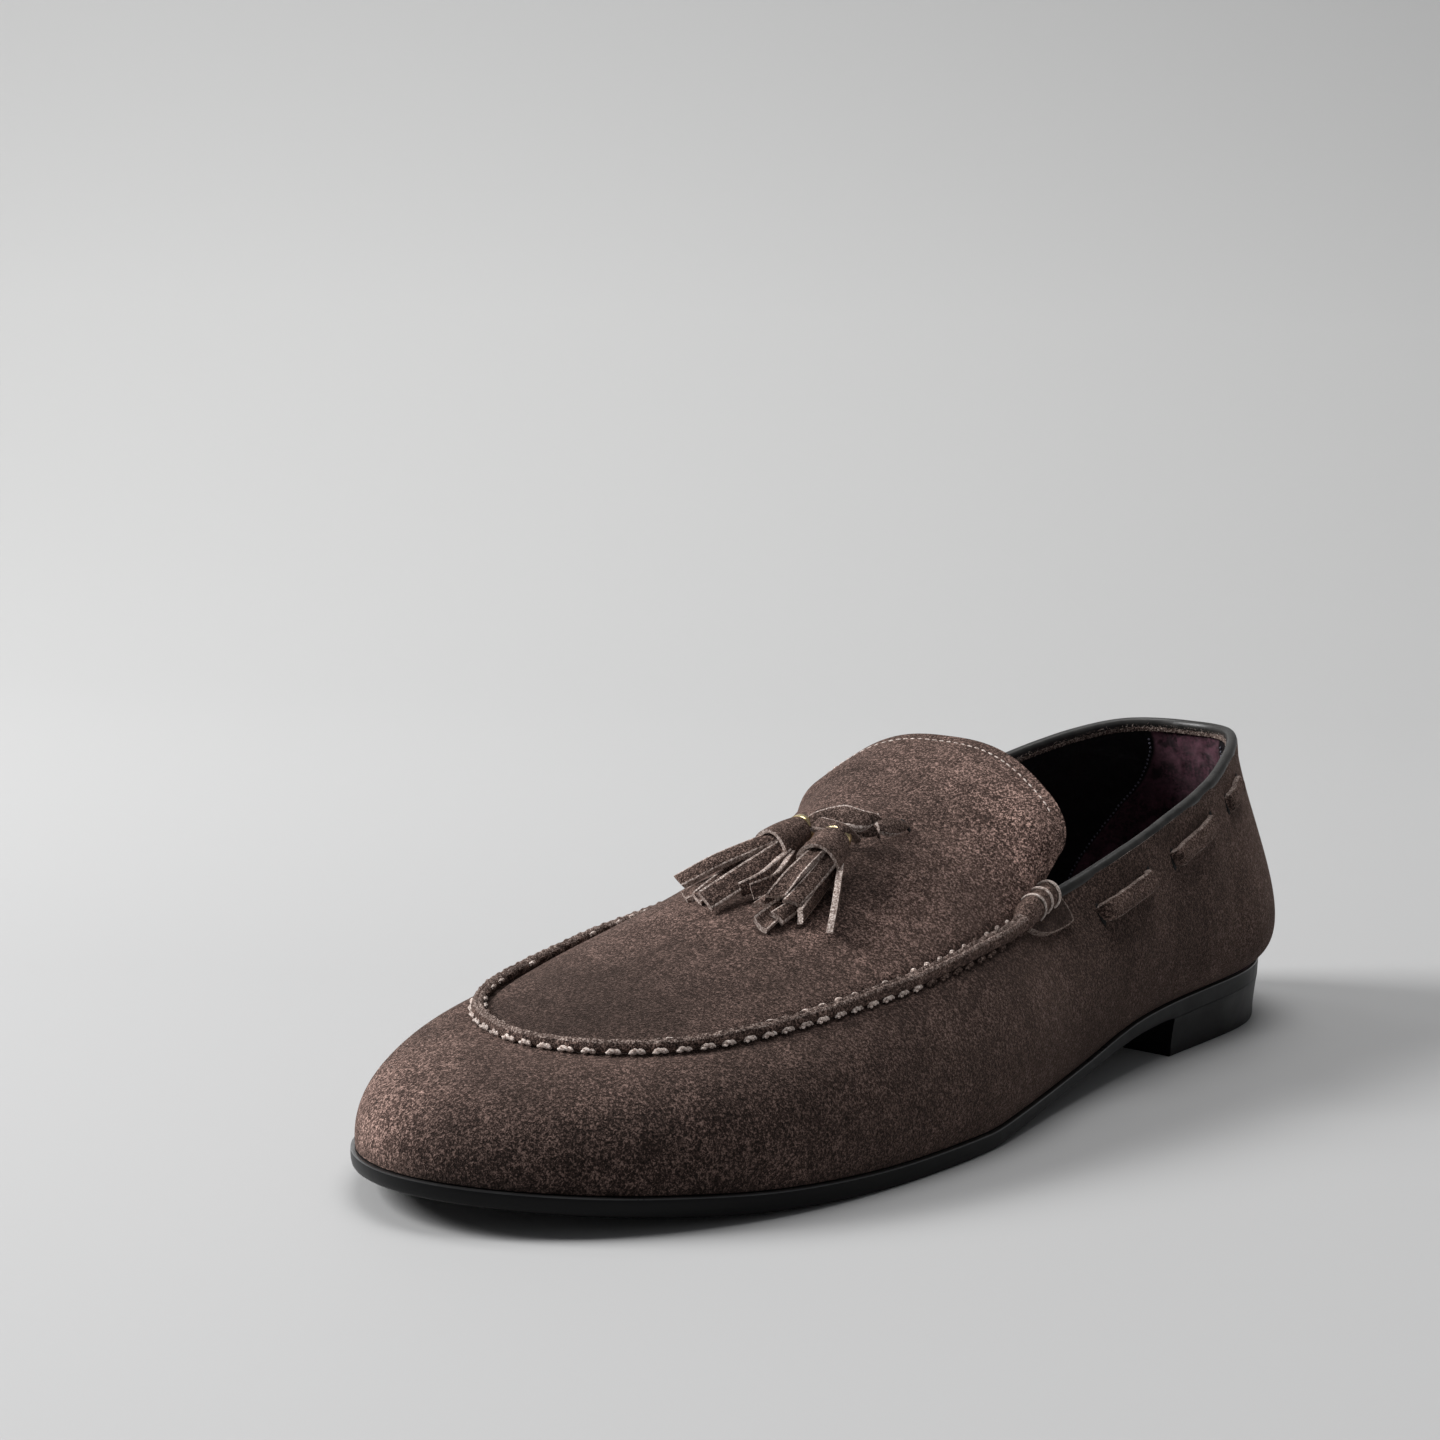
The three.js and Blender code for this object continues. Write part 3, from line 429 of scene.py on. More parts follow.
def shell(outer, inner, wrap=False, finishes=(0, 0, 0)):
    """A closed sheet between two grids: finishes of its face, back and borders."""
    rows, columns = outer.shape[:2]
    count = rows * columns
    points = np.concatenate([outer.reshape(-1, 3), inner.reshape(-1, 3)])
    faces = grid_faces(rows, columns, wrap)
    finish = [finishes[0]] * len(faces)
    backs = grid_faces(rows, columns, wrap, flip=True, start=count)
    faces += backs
    finish += [finishes[1]] * len(backs)
    borders = []
    for j in range(columns if wrap else columns - 1):
        k = (j + 1) % columns
        borders.append((k, j, count + j, count + k))
        last = (rows - 1) * columns
        borders.append((last + j, last + k, count + last + k, count + last + j))
    if not wrap:
        for i in range(rows - 1):
            a, b = i * columns, (i + 1) * columns
            borders.append((a, b, count + b, count + a))
            a, b = a + columns - 1, b + columns - 1
            borders.append((b, a, count + a, count + b))
    faces += borders
    finish += [finishes[2]] * len(borders)
    return points, faces, finish


def grid_normals(points, wrap=False):
    """Unit normals of a grid of points."""
    down = np.gradient(points, axis=0)
    if wrap:
        across = (np.roll(points, -1, axis=1) - np.roll(points, 1, axis=1)) / 2
    else:
        across = np.gradient(points, axis=1)
    return unit(np.cross(across, down))


def capped(ring, first, last):
    """Closes a bar of rings with a point at each end."""
    n, m = ring.shape[:2]
    points = np.concatenate([ring.reshape(-1, 3), first[None], last[None]])
    faces = grid_faces(n, m, wrap=True)
    for j in range(m):
        k = (j + 1) % m
        faces += [(n * m, k, j), (n * m + 1, (n - 1) * m + j, (n - 1) * m + k)]
    return points, faces


def tube(path, radii, sides, normal, finish=0):
    """A closed round bar along a path."""
    path = np.asarray(path, float)
    radii = np.broadcast_to(np.asarray(radii, float), (len(path),))
    along = unit(np.gradient(path, axis=0))
    side = unit(np.cross(along, np.broadcast_to(np.asarray(normal, float), path.shape)))
    top = np.cross(side, along)
    turns = np.linspace(0, 2 * math.pi, sides, endpoint=False)[None, :, None]
    rounded = side[:, None] * np.cos(turns) + top[:, None] * np.sin(turns)
    ring = path[:, None] + radii[:, None, None] * rounded
    first = path[0] - along[0] * radii[0] * 0.6
    last = path[-1] + along[-1] * radii[-1] * 0.6
    points, faces = capped(ring, first, last)
    return points, faces, [finish] * len(faces)


# Section of a ribbon: shares of half its width and of half its depth, over the top and then underneath
RIBBON_ACROSS = np.array([-1.0, -0.94, -0.6, -0.2, 0.2, 0.6, 0.94, 1.0])
RIBBON_UP = np.array([0.45, 0.92, 1.0, 1.04, 1.04, 1.0, 0.92, 0.45])


def ribbon(path, across, widths, depth):
    """A flat strip along a path. across gives its direction of width."""
    path = np.asarray(path, float)
    w = np.concatenate([RIBBON_ACROSS, -RIBBON_ACROSS])[None, :, None]
    d = np.concatenate([RIBBON_UP, -RIBBON_UP])[None, :, None]
    n, m = len(path), w.size
    widths = np.broadcast_to(np.asarray(widths, float), (n,))
    along = unit(np.gradient(path, axis=0))
    across = np.broadcast_to(np.asarray(across, float), path.shape)
    across = unit(across - along * dot(across, along))
    up = np.cross(across, along)
    points = path[:, None] + across[:, None] * (w * widths[:, None, None] / 2) + up[:, None] * (d * depth / 2)
    faces = grid_faces(n, m, wrap=True)
    for row in (0, n - 1):
        order = [row * m + j for j in range(m)]
        halves = [(order[j], order[j + 1], order[m - 2 - j], order[m - 1 - j]) for j in range(m // 2 - 1)]
        faces += halves if row else [tuple(reversed(half)) for half in halves]
    return points.reshape(-1, 3), faces, [0] * len(faces)


STRAP_STEPS = np.array([0.0, 0.04, 0.1, 0.3, 0.5, 0.7, 0.9, 0.96, 1.0])


def strap(upper, lower, thick, bulge, count, raw=(0, 1, 6, 7)):
    """A strip of suede between two edges. Its ends and its raw columns have finish 1, the rest 0."""
    upper, lower = smooth_path(upper, count), smooth_path(lower, count)
    w = STRAP_STEPS[None, :, None]
    face = upper[:, None] * (1 - w) + lower[:, None] * w
    normals = grid_normals(face)
    blank = np.linalg.norm(upper - lower, axis=1) < 0.25
    for k in np.flatnonzero(blank):
        normals[k] = normals[k - 1]
    normals = normals * (1 if normals[..., 2].mean() > 0 else -1)
    face = face + normals * (bulge * 4 * w * (1 - w))
    half = thick / 2 * np.array([0.88, 1.0, 1.02, 1.03, 1.03, 1.03, 1.02, 1.0, 0.88])[None, :, None]
    points, faces, finish = shell(face + normals * half, face - normals * half, finishes=(0, 0, 1))
    columns = len(STRAP_STEPS) - 1
    for k in range(2 * (count - 1) * columns):
        if k % columns in raw:
            finish[k] = 1
    return points, faces, finish


def smooth_path(points, count):
    """An even curve through a few points."""
    p = np.asarray(points, float)
    if len(p) < 3:
        return p[0] + (p[-1] - p[0]) * np.linspace(0, 1, count)[:, None]
    ends = np.concatenate([[2 * p[0] - p[1]], p, [2 * p[-1] - p[-2]]])
    samples = []
    for i in range(1, len(ends) - 2):
        a, b, c, d = ends[i - 1 : i + 3]
        t = np.linspace(0, 1, 24, endpoint=False)[:, None]
        bend, twist = 2 * a - 5 * b + 4 * c - d, 3 * b - a - 3 * c + d
        samples.append(0.5 * (2 * b + (c - a) * t + bend * t**2 + twist * t**3))
    samples = np.concatenate([*samples, p[-1:]])
    return resample(samples, count)


def resample(path, count):
    """The same path in even steps."""
    far = steps_along(path)
    wanted = np.linspace(0, far[-1], count)
    return np.stack([np.interp(wanted, far, path[:, i]) for i in range(3)], axis=-1)


def stitch_row(line, normals, radii):
    """Small stitches along a line that has eight steps for each stitch and its gap."""
    starts = range(0, len(line), 8)
    return joined([tube(line[k : k + len(radii)], radii, 6, normals[k]) for k in starts])


def joined(parts):
    points, faces, finish, start = [], [], [], 0
    for part_points, part_faces, part_finish in parts:
        points.append(part_points)
        faces += [tuple(i + start for i in f) for f in part_faces]
        finish += list(part_finish)
        start += len(part_points)
    return np.concatenate(points), faces, finish


def make(name, part, materials, replaces=(), angle=40, marks=None):
    """Turns a part in shoe sizes into a piece of the model."""
    points, faces, finish = part
    mesh = bpy.data.meshes.new(name)
    mesh.from_pydata(to_frame(points).tolist(), [], faces)
    for material in materials:
        mesh.materials.append(material)
    mesh.polygons.foreach_set("material_index", finish)
    for mark, values in (marks or {}).items():
        field = mesh.attributes.new(mark, "FLOAT", "POINT")
        field.data.foreach_set("value", np.concatenate([values.ravel(), values.ravel()]).astype(np.float32))
    clean(mesh)
    mesh.shade_smooth()
    mesh.set_sharp_from_angle(angle=math.radians(angle))
    piece = bpy.data.objects.new(name, mesh)
    bpy.context.scene.collection.objects.link(piece)
    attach(piece, "root")
    if replaces:
        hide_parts(*replaces)
    return piece


def clean(mesh):
    """Welds points that coincide, drops faces with no area and turns the rest outwards."""
    work = bmesh.new()
    work.from_mesh(mesh)
    bmesh.ops.remove_doubles(work, verts=work.verts, dist=2e-6)
    bmesh.ops.dissolve_degenerate(work, edges=work.edges, dist=1e-7)
    bmesh.ops.recalc_face_normals(work, faces=work.faces)
    work.to_mesh(mesh)
    work.free()
    mesh.update()


# Materials
def linear(red, green, blue):
    def one(c):
        c /= 255
        return c / 12.92 if c <= 0.04045 else ((c + 0.055) / 1.055) ** 2.4

    return one(red), one(green), one(blue), 1.0


class Nodes:
    """A node tree with short ways to add and join nodes."""

    def __init__(self, tree):
        self.tree = tree

    def add(self, kind, inputs=None, **settings):
        node = self.tree.nodes.new("ShaderNode" + kind)
        for key, value in settings.items():
            setattr(node, key, value)
        for key, value in (inputs or {}).items():
            self.feed(node.inputs[key], value)
        return node

    def feed(self, socket, value):
        if isinstance(value, bpy.types.NodeSocket):
            self.tree.links.new(value, socket)
        else:
            socket.default_value = value

    def math(self, operation, a, b=0.0, clamp=False):
        return self.add("Math", {0: a, 1: b}, operation=operation, use_clamp=clamp).outputs[0]

    def range(self, value, low, high, new_low=0.0, new_high=1.0):
        inputs = {"Value": value, "From Min": low, "From Max": high, "To Min": new_low, "To Max": new_high}
        return self.add("MapRange", inputs).outputs["Result"]

    def colour(self, factor, a, b):
        return self.add("Mix", {0: factor, 6: a, 7: b}, data_type="RGBA").outputs[2]

    def bump(self, height, strength, millimetres_high):
        inputs = {"Height": height, "Strength": strength, "Distance": millimetres_high / 1000}
        return self.add("Bump", inputs).outputs[0]

    def noise(self, vector, size, detail=3.0, rough=0.6, twist=0.0):
        """Noise whose lumps are about size millimetres across."""
        scale = self.math("DIVIDE", 1.0, size)
        inputs = {"Vector": vector, "Scale": scale, "Detail": detail, "Roughness": rough, "Distortion": twist}
        return self.add("TexNoise", inputs).outputs["Fac"]


def group_of(name, inputs, outputs):
    """An empty node group with its sockets."""
    tree = bpy.data.node_groups.new(name, "ShaderNodeTree")
    for socket, kind, value in inputs:
        made = tree.interface.new_socket(name=socket, in_out="INPUT", socket_type="NodeSocket" + kind)
        if value is not None:
            made.default_value = value
    for socket, kind in outputs:
        tree.interface.new_socket(name=socket, in_out="OUTPUT", socket_type="NodeSocket" + kind)
    entry = tree.nodes.new("NodeGroupInput")
    leave = tree.nodes.new("NodeGroupOutput")
    return Nodes(tree), entry.outputs, leave.inputs


def millimetres(nodes):
    """Places on the object in millimetres."""
    place = nodes.add("TexCoord").outputs["Object"]
    return nodes.add("VectorMath", {0: place, "Scale": 1000.0}, operation="SCALE").outputs[0]


def nap_group():
    """Brushed suede: tufts, finer fibres, mottled spots and soft clouds where the nap lies another way."""
    nodes, given, out = group_of(
        "suede nap",
        [
            ("Tuft", "Float", 0.9),
            ("Fibre", "Float", 0.36),
            ("Cloud", "Float", 13.0),
            ("Contrast", "Float", 1.0),
        ],
        [("Nap", "Float"), ("Cloud", "Float"), ("Height", "Float")],
    )
    place = millimetres(nodes)
    tufts = nodes.noise(place, given["Tuft"], 2.0, 0.7, 0.5)
    fibres = nodes.noise(place, given["Fibre"], 1.0, 0.6)
    mottle = nodes.noise(place, nodes.math("MULTIPLY", given["Tuft"], 5.0), 3.0, 0.5, 0.4)
    clouds = nodes.noise(place, given["Cloud"], 2.0, 0.45, 0.4)
    both = nodes.math("ADD", nodes.math("MULTIPLY", tufts, 0.62), nodes.math("MULTIPLY", fibres, 0.38))
    spots = nodes.math("ADD", both, nodes.math("MULTIPLY", nodes.math("SUBTRACT", mottle, 0.5), 0.14))
    steep = nodes.math("MULTIPLY", given["Contrast"], 3.6)
    centred = nodes.math("MULTIPLY", nodes.math("SUBTRACT", spots, 0.5), steep)
    nodes.feed(out["Nap"], nodes.math("ADD", centred, 0.45, clamp=True))
    nodes.feed(out["Cloud"], nodes.range(clouds, 0.32, 0.68))
    nodes.feed(out["Height"], both)
    return nodes.tree


def grain_group():
    """Fine leather grain with pores and shallow wrinkles."""
    nodes, given, out = group_of(
        "leather grain",
        [("Grain", "Float", 0.8), ("Wrinkle", "Float", 6.0)],
        [("Grain", "Float"), ("Height", "Float")],
    )
    place = millimetres(nodes)
    inputs = {"Vector": place, "Detail": 1.0, "Scale": nodes.math("DIVIDE", 1.0, given["Grain"])}
    cells = nodes.add("TexVoronoi", inputs, feature="SMOOTH_F1")
    wrinkles = nodes.noise(place, given["Wrinkle"], 4.0, 0.6, 0.8)
    nodes.feed(out["Grain"], nodes.range(wrinkles, 0.3, 0.7))
    height = nodes.math("ADD", nodes.math("MULTIPLY", cells.outputs["Distance"], 0.4), wrinkles)
    nodes.feed(out["Height"], height)
    return nodes.tree


NAP = nap_group()
GRAIN = grain_group()


def material(name):
    made = bpy.data.materials.new(name)
    made.use_nodes = True
    made.node_tree.nodes.clear()
    return made, Nodes(made.node_tree)


def finish_with(nodes, sockets):
    """The material's shader with its sockets joined or set."""
    shader = nodes.add("BsdfPrincipled", sockets)
    nodes.add("OutputMaterial", {"Surface": shader.outputs[0]})


def use_group(nodes, group, values):
    node = nodes.tree.nodes.new("ShaderNodeGroup")
    node.node_tree = group
    for key, value in values.items():
        nodes.feed(node.inputs[key], value)
    return node.outputs


def suede(name, deep, middle, light, nap, relief, sheen=0.35, toned=False):
    """Suede from its deep, middle and light tones. The tone attribute makes it lighter or darker: painted
    light and shade, and other lighter and darker patches.
    """
    deep, middle, light = linear(*deep), linear(*middle), linear(*light)
    made, nodes = material(name)
    field = use_group(nodes, NAP, nap)
    base = nodes.colour(nodes.range(field["Nap"], 0.0, 0.5), deep, middle)
    base = nodes.colour(nodes.range(field["Nap"], 0.45, 1.0), base, light)
    cloud = nodes.range(field["Cloud"], 0.0, 1.0, 0.75, 1.25)
    if toned:
        # The tone attribute multiplies painted light and shade into the colour
        tone = nodes.add("Attribute", attribute_name="tone").outputs["Fac"]
        cloud = nodes.math("MULTIPLY", cloud, nodes.math("MULTIPLY", tone, 2.0))
    shade = nodes.add("VectorMath", {0: base, "Scale": cloud}, operation="SCALE")
    sockets = {
        "Base Color": shade.outputs[0],
        "Roughness": nodes.range(field["Nap"], 0.0, 1.0, 0.98, 0.85),
        "Specular IOR Level": 0.12,
        "Sheen Weight": sheen,
        "Sheen Roughness": 0.5,
        "Sheen Tint": linear(196, 166, 152),
        "Normal": nodes.bump(field["Height"], 1.0, relief),
    }
    finish_with(nodes, sockets)
    return made


def leather(name, dark, light, rough, grain, relief=0.08, coat=0.0, shine=0.5):
    """Leather or plain fabric. grain gives the size of its pores and of its wrinkles."""
    made, nodes = material(name)
    field = use_group(nodes, GRAIN, dict(zip(("Grain", "Wrinkle"), grain)))
    sockets = {
        "Base Color": nodes.colour(field["Grain"], linear(*dark), linear(*light)),
        "Roughness": nodes.range(field["Grain"], 0.0, 1.0, rough * 0.8, rough * 1.2),
        "Specular IOR Level": shine,
        "Coat Weight": coat,
        "Coat Roughness": 0.3,
        "Normal": nodes.bump(field["Height"], 0.7, relief),
    }
    finish_with(nodes, sockets)
    return made


def brass():
    made, nodes = material("brass")
    field = use_group(nodes, GRAIN, {"Grain": 0.5, "Wrinkle": 3.0})
    sockets = {
        "Base Color": nodes.colour(field["Grain"], linear(206, 182, 128), linear(240, 224, 184)),
        "Roughness": nodes.range(field["Grain"], 0.0, 1.0, 0.22, 0.36),
        "Metallic": 1.0,
    }
    finish_with(nodes, sockets)
    return made


UPPER_NAP = {"Tuft": 0.66, "Fibre": 0.3, "Cloud": 15.0, "Contrast": 1.0}
TRIM_NAP = {"Tuft": 0.56, "Fibre": 0.28, "Cloud": 6.0, "Contrast": 0.9}
UPPER_SUEDE = suede("upper suede", (10, 7, 6), (56, 43, 39), (146, 121, 112), UPPER_NAP, 0.7, toned=True)
TRIM_SUEDE = suede("trim suede", (16, 12, 11), (66, 52, 47), (152, 128, 118), TRIM_NAP, 0.6)
TAB_SUEDE = suede("tab suede", (14, 11, 10), (46, 36, 33), (92, 76, 70), TRIM_NAP, 0.4, 0.25)
TAB_EDGE = suede("tab edge", (60, 50, 46), (118, 104, 97), (176, 162, 154), TRIM_NAP, 0.4)
LACE_EDGE = suede("lace edge", (60, 50, 46), (124, 109, 102), (190, 176, 168), TRIM_NAP, 0.4)
KNOT_SUEDE = suede("knot suede", (18, 14, 12), (64, 51, 46), (146, 124, 115), TRIM_NAP, 0.7)
CUT_EDGE = suede("raw cut edge", (84, 70, 65), (164, 148, 140), (232, 220, 213), TRIM_NAP, 0.4)
RIDGE_EDGE = suede("seam edge", (30, 23, 21), (98, 82, 76), (186, 170, 161), TRIM_NAP, 0.5)
THREAD_LIGHT = suede("waxed thread", (132, 114, 106), (208, 192, 183), (244, 234, 227), TRIM_NAP, 0.2, 0.2)
# The darker thread is also painted shade on the outer stitches off the toe
THREAD_SHADED_AND_DARK = suede("shaded and dark thread", (40, 31, 28), (84, 68, 61), (150, 132, 124), TRIM_NAP, 0.2, 0.2)
PIPING_LEATHER = leather("piping leather", (30, 29, 28), (54, 52, 50), 0.42, (0.45, 5.0), 0.1, 0.05)
SOCK_LEATHER = leather("sock leather", (12, 11, 13), (24, 22, 25), 0.55, (0.8, 20.0))
SOLE_EDGE = leather("sole edge", (7, 7, 8), (12, 12, 13), 0.4, (0.5, 16.0), 0.02, 0.0, 0.14)
# Painted highlight: the rim is lighter than the black edge below it, and its coat is real shine
SOLE_RIM_HIGHLIGHT = leather("sole rim with painted highlight", (24, 24, 25), (38, 38, 39), 0.32, (0.5, 16.0), 0.02, 0.6)
SOLE_TREAD = leather("sole tread", (20, 19, 19), (34, 32, 31), 0.6, (0.9, 30.0), 0.12)
HEEL_BLACK = leather("heel black", (4, 4, 5), (8, 8, 9), 0.42, (0.5, 18.0), 0.03, 0.0, 0.16)
SLIT_SHADOW = leather("slit shadow", (5, 4, 4), (9, 7, 7), 0.9, (0.6, 4.0))
LINING_FRONT = leather("tongue lining", (10, 10, 11), (18, 18, 20), 0.6, (0.7, 14.0))
LINING_THREAD = leather("lining thread", (70, 70, 82), (120, 118, 132), 0.6, (0.4, 3.0))
BRASS = brass()


def lining_material():
    """Burgundy suede behind the sewn border and black fabric before it, with a painted highlight along the
    top of the inner heel.
    """
    made, nodes = material("lining")
    field = use_group(nodes, NAP, {"Tuft": 2.4, "Fibre": 0.7, "Cloud": 6.0, "Contrast": 1.2})
    heel = nodes.colour(nodes.range(field["Nap"], 0.1, 0.8), linear(24, 10, 17), linear(74, 42, 54))
    heel = nodes.colour(nodes.range(field["Cloud"], 0.4, 1.0, 0.0, 0.6), heel, linear(116, 78, 91))
    # A painted highlight on the burgundy suede near the top of the inner heel
    painted_highlight = nodes.add("Attribute", attribute_name="painted_highlight").outputs["Fac"]
    heel = nodes.colour(nodes.math("MULTIPLY", painted_highlight, 0.8), heel, linear(196, 160, 172))
    front = nodes.colour(field["Nap"], linear(8, 8, 9), linear(17, 17, 19))
    behind = nodes.range(nodes.add("Attribute", attribute_name="behind").outputs["Fac"], -0.25, 0.25)
    sockets = {
        "Base Color": nodes.colour(behind, front, heel),
        "Roughness": nodes.range(behind, 0.0, 1.0, 0.62, 0.9),
        "Sheen Weight": nodes.range(behind, 0.0, 1.0, 0.05, 0.45),
        "Sheen Tint": linear(226, 188, 200),
        "Specular IOR Level": 0.25,
        "Normal": nodes.bump(field["Cloud"], 0.8, 0.8),
    }
    finish_with(nodes, sockets)
    return made


LINING = lining_material()


# Seam stations in even steps along the top edge, from the outer throat round the toe to the inner one
seam_us = np.linspace(THROAT_U, 1 - THROAT_U, 4001)
seam_line = at(rim_x(seam_us), rim_s(seam_us), rim_z(seam_us))
seam_far = steps_along(seam_line)
SEAM_LENGTH = seam_far[-1]
STITCHED = SEAM_LENGTH - 2 * STITCH_START
STITCHES = int(round(STITCHED / STITCH_PITCH))
PITCH = STITCHED / STITCHES


def seam_u(distance):
    return np.interp(distance, seam_far, seam_us)


def seam_distance(u):
    return np.interp(np.mod(u, 1), seam_us, seam_far)


def stitch_wave(distance):
    """1 where a stitch goes through and 0 midway between two."""
    return 0.5 + 0.5 * np.cos(2 * math.pi * (distance - STITCH_START) / PITCH)


# Creases of the wall: side, station, v, half sizes along and up, lean and depth
WALL_CREASES = [
    (1, 0.16, 0.45, 5.0, 0.3, 0.1, -0.35),
    (1, 0.21, 0.42, 4.0, 0.28, -0.1, 0.25),
    (1, 0.275, 0.5, 5.5, 0.3, 0.12, -0.3),
    (1, 0.36, 0.4, 7.0, 0.35, 0.1, -0.25),
    (1, 0.46, 0.5, 6.0, 0.3, 0.15, -0.3),
    (1, 0.52, 0.45, 6.0, 0.3, 0.1, 0.25),
    (1, 0.6, 0.5, 7.0, 0.3, 0.2, -0.3),
    (-1, 0.2, 0.5, 6.0, 0.3, -0.1, -0.3),
    (-1, 0.34, 0.45, 7.0, 0.3, 0.1, -0.35),
    (-1, 0.45, 0.5, 6.0, 0.35, 0.1, 0.3),
    (-1, 0.55, 0.5, 7.0, 0.3, 0.15, -0.3),
]


def wall_detail(u, v, points):
    """How far the suede stands out from the last's smooth form."""
    s = points[..., 1]
    side = np.where(np.mod(u, 1) < 0.5, 1, -1)
    out = np.zeros(s.shape)
    for which, station, high, along, up, lean, depth in WALL_CREASES:
        middle = station * LENGTH + lean * (v - high) * 50
        out += np.where(side == which, depth, 0) * bump_at(s, middle, along) * bump_at(v, high, up)
    under_top = (1 - v) * (rim_z(u) - sole_top(s))
    front = ease(THROAT_U, THROAT_U + 0.02, from_heel(u))
    out -= 0.22 * front * stitch_wave(seam_distance(u)) * bump_at(under_top, 0, 1.5)
    out -= 0.35 * front * bump_at(under_top, 1.0, 1.3)
    return out


def wall_painted_light_and_shade(u, v, points):
    """Painted light on the toe's inner front and painted shade on its outer front, on the outer waist and
    along the outer side; also darker along the sole.
    """
    s = points[..., 1]
    lift = points[..., 2] - sole_top(s)
    outer = np.where(np.mod(u, 1) < 0.5, 1.0, 0.0)
    # Painted light on the inner front of the toe, which faces the window, and painted shade on its outer
    # front
    toe = ease(0.86, 1.0, s / LENGTH) * ease(0.95, 0.4, v)
    tone = 0.5 + toe * mix(-0.2, 0.56, ease(12, -18, points[..., 0]))
    tone -= 0.2 * bump_at(lift, 0, 2.0)
    # Painted shade on the outer waist and outer side, which face away from the window
    tone -= 0.16 * outer * bump_at(s, 0.28 * LENGTH, 60)
    tone -= 0.1 * outer * ease(0.95, 0.86, s / LENGTH) * ease(0.25, 0.45, s / LENGTH)
    tone += 0.06 * outer * bump_at(s, 0.47 * LENGTH, 14) * bump_at(v, 0.45, 0.3)
    return tone


def upper_wall():
    us = np.linspace(0, 1, 620, endpoint=False)
    vs = np.concatenate([np.linspace(0, 0.9, 46, endpoint=False), np.linspace(0.9, 1, 14)])
    v, u = np.meshgrid(vs, us, indexing="ij")
    smooth = wall_point(u, v)
    normals = grid_normals(smooth, wrap=True)
    normals = np.where(dot(normals, wall_frame(u, v)[3]) < 0, -normals, normals)
    outer = smooth + normals * wall_detail(u, v, smooth)[..., None]
    inner = smooth - normals * SUEDE
    collar = ease(THROAT_U - 0.01, THROAT_U - 0.05, from_heel(u)) * ease(0.95, 1.0, v) * SUEDE_COVER
    outer[..., 2] += collar
    inner[..., 2] += collar
    tone = wall_painted_light_and_shade(u, v, smooth)
    part = shell(outer, inner, wrap=True, finishes=(0, 0, 1))
    return make("upper_wall", part, [UPPER_SUEDE, CUT_EDGE], ["upper"], 60, {"tone": tone})


LINING_BORDER = monotone_through(
    np.array([28.0, 34.0, 40.0, 48.0, 57.0, 64.0, 72.0]),
    np.array([18.5, 16.5, 14.2, 11.4, 9.2, 9.7, 12.2]),
)


def lining_face(u, v):
    """The lining's visible face, a little loose between the collar and the sole."""
    smooth, _, _, out = wall_frame(u, v)
    soft = 0.5 * np.sin(smooth[..., 1] / 7.5 + 2.2 * v) + 0.35 * np.sin(smooth[..., 1] / 3.4 - 5.0 * v)
    depth = WALL - 0.15 + 0.3 * soft * bump_at(v, 0.62, 0.3)
    return smooth - out * depth[..., None], smooth, out


def lining():
    us = np.linspace(0, 1, 480, endpoint=False)
    vs = np.linspace(0.02, 1, 44)
    v, u = np.meshgrid(vs, us, indexing="ij")
    face, smooth, out = lining_face(u, v)
    back = smooth - out * (SUEDE - 0.1)
    behind = LINING_BORDER(smooth[..., 2]) - smooth[..., 1]
    part = shell(face, back, wrap=True, finishes=(0, 0, 0))
    # Where the painted highlight lies: along the top of the inner heel's lining
    painted_highlight = bump_at(v, 1.0, 0.16) * ease(5.0, 9.0, behind) * ease(0.6, 0.95, np.where(u > 0.5, u, 1.0))
    return make("lining", part, [LINING], (), 60, {"behind": behind, "painted_highlight": painted_highlight})


def lining_stitches():
    """Small stitches along both sides of the border between the two linings."""
    parts = []
    us = np.linspace(0.01, 0.2, 400)
    for side in (1, -1):
        line = []
        for v in np.linspace(0.3, 0.97, 60):
            face, smooth, out = lining_face(side * us, np.full(400, v))
            behind = LINING_BORDER(smooth[:, 2]) - smooth[:, 1]
            k = np.argmin(np.abs(behind + 0.7))
            line.append(face[k] - out[k] * 0.12)
        line = resample(np.array(line), LINING_STITCHES * 8)
        normal = unit(np.cross(unit(line[-1] - line[0]), np.array([0.0, 1.0, 0.0])))
        parts.append(stitch_row(line, np.broadcast_to(normal, line.shape), [0.16, 0.3, 0.34, 0.3, 0.16]))
    return make("lining_stitches", joined(parts), [LINING_THREAD], (), 50)


# The apron and tongue
APRON_CREASES = [
    # x, s, half size along x and s, turn in degrees, depth
    (12.0, 149.0, 9.0, 3.2, -18, -0.55),
    (19.0, 143.0, 10.0, 3.0, -30, -0.35),
    (20.0, 155.0, 9.0, 3.5, 8, -0.3),
    (14.0, 160.0, 8.0, 4.0, 25, 0.35),
    (2.0, 142.0, 12.0, 4.0, 10, -0.3),
    (24.0, 170.0, 7.0, 12.0, 20, -0.4),
    (-12.0, 158.0, 8.0, 10.0, -15, -0.35),
    (0.0, 214.0, 16.0, 8.0, 0, -0.35),
    (14.0, 226.0, 10.0, 12.0, 25, 0.3),
    (-16.0, 200.0, 9.0, 14.0, 10, 0.3),
]


def apron_detail(points):
    x, s = points[..., 0], points[..., 1]
    out = np.zeros(x.shape)
    for middle_x, middle_s, wide, long, turn, depth in APRON_CREASES:
        c, k = math.cos(math.radians(turn)), math.sin(math.radians(turn))
        dx, ds = x - middle_x, s - middle_s
        out += depth * bump_at(dx * c + ds * k, 0, wide) * bump_at(ds * c - dx * k, 0, long)
    return out
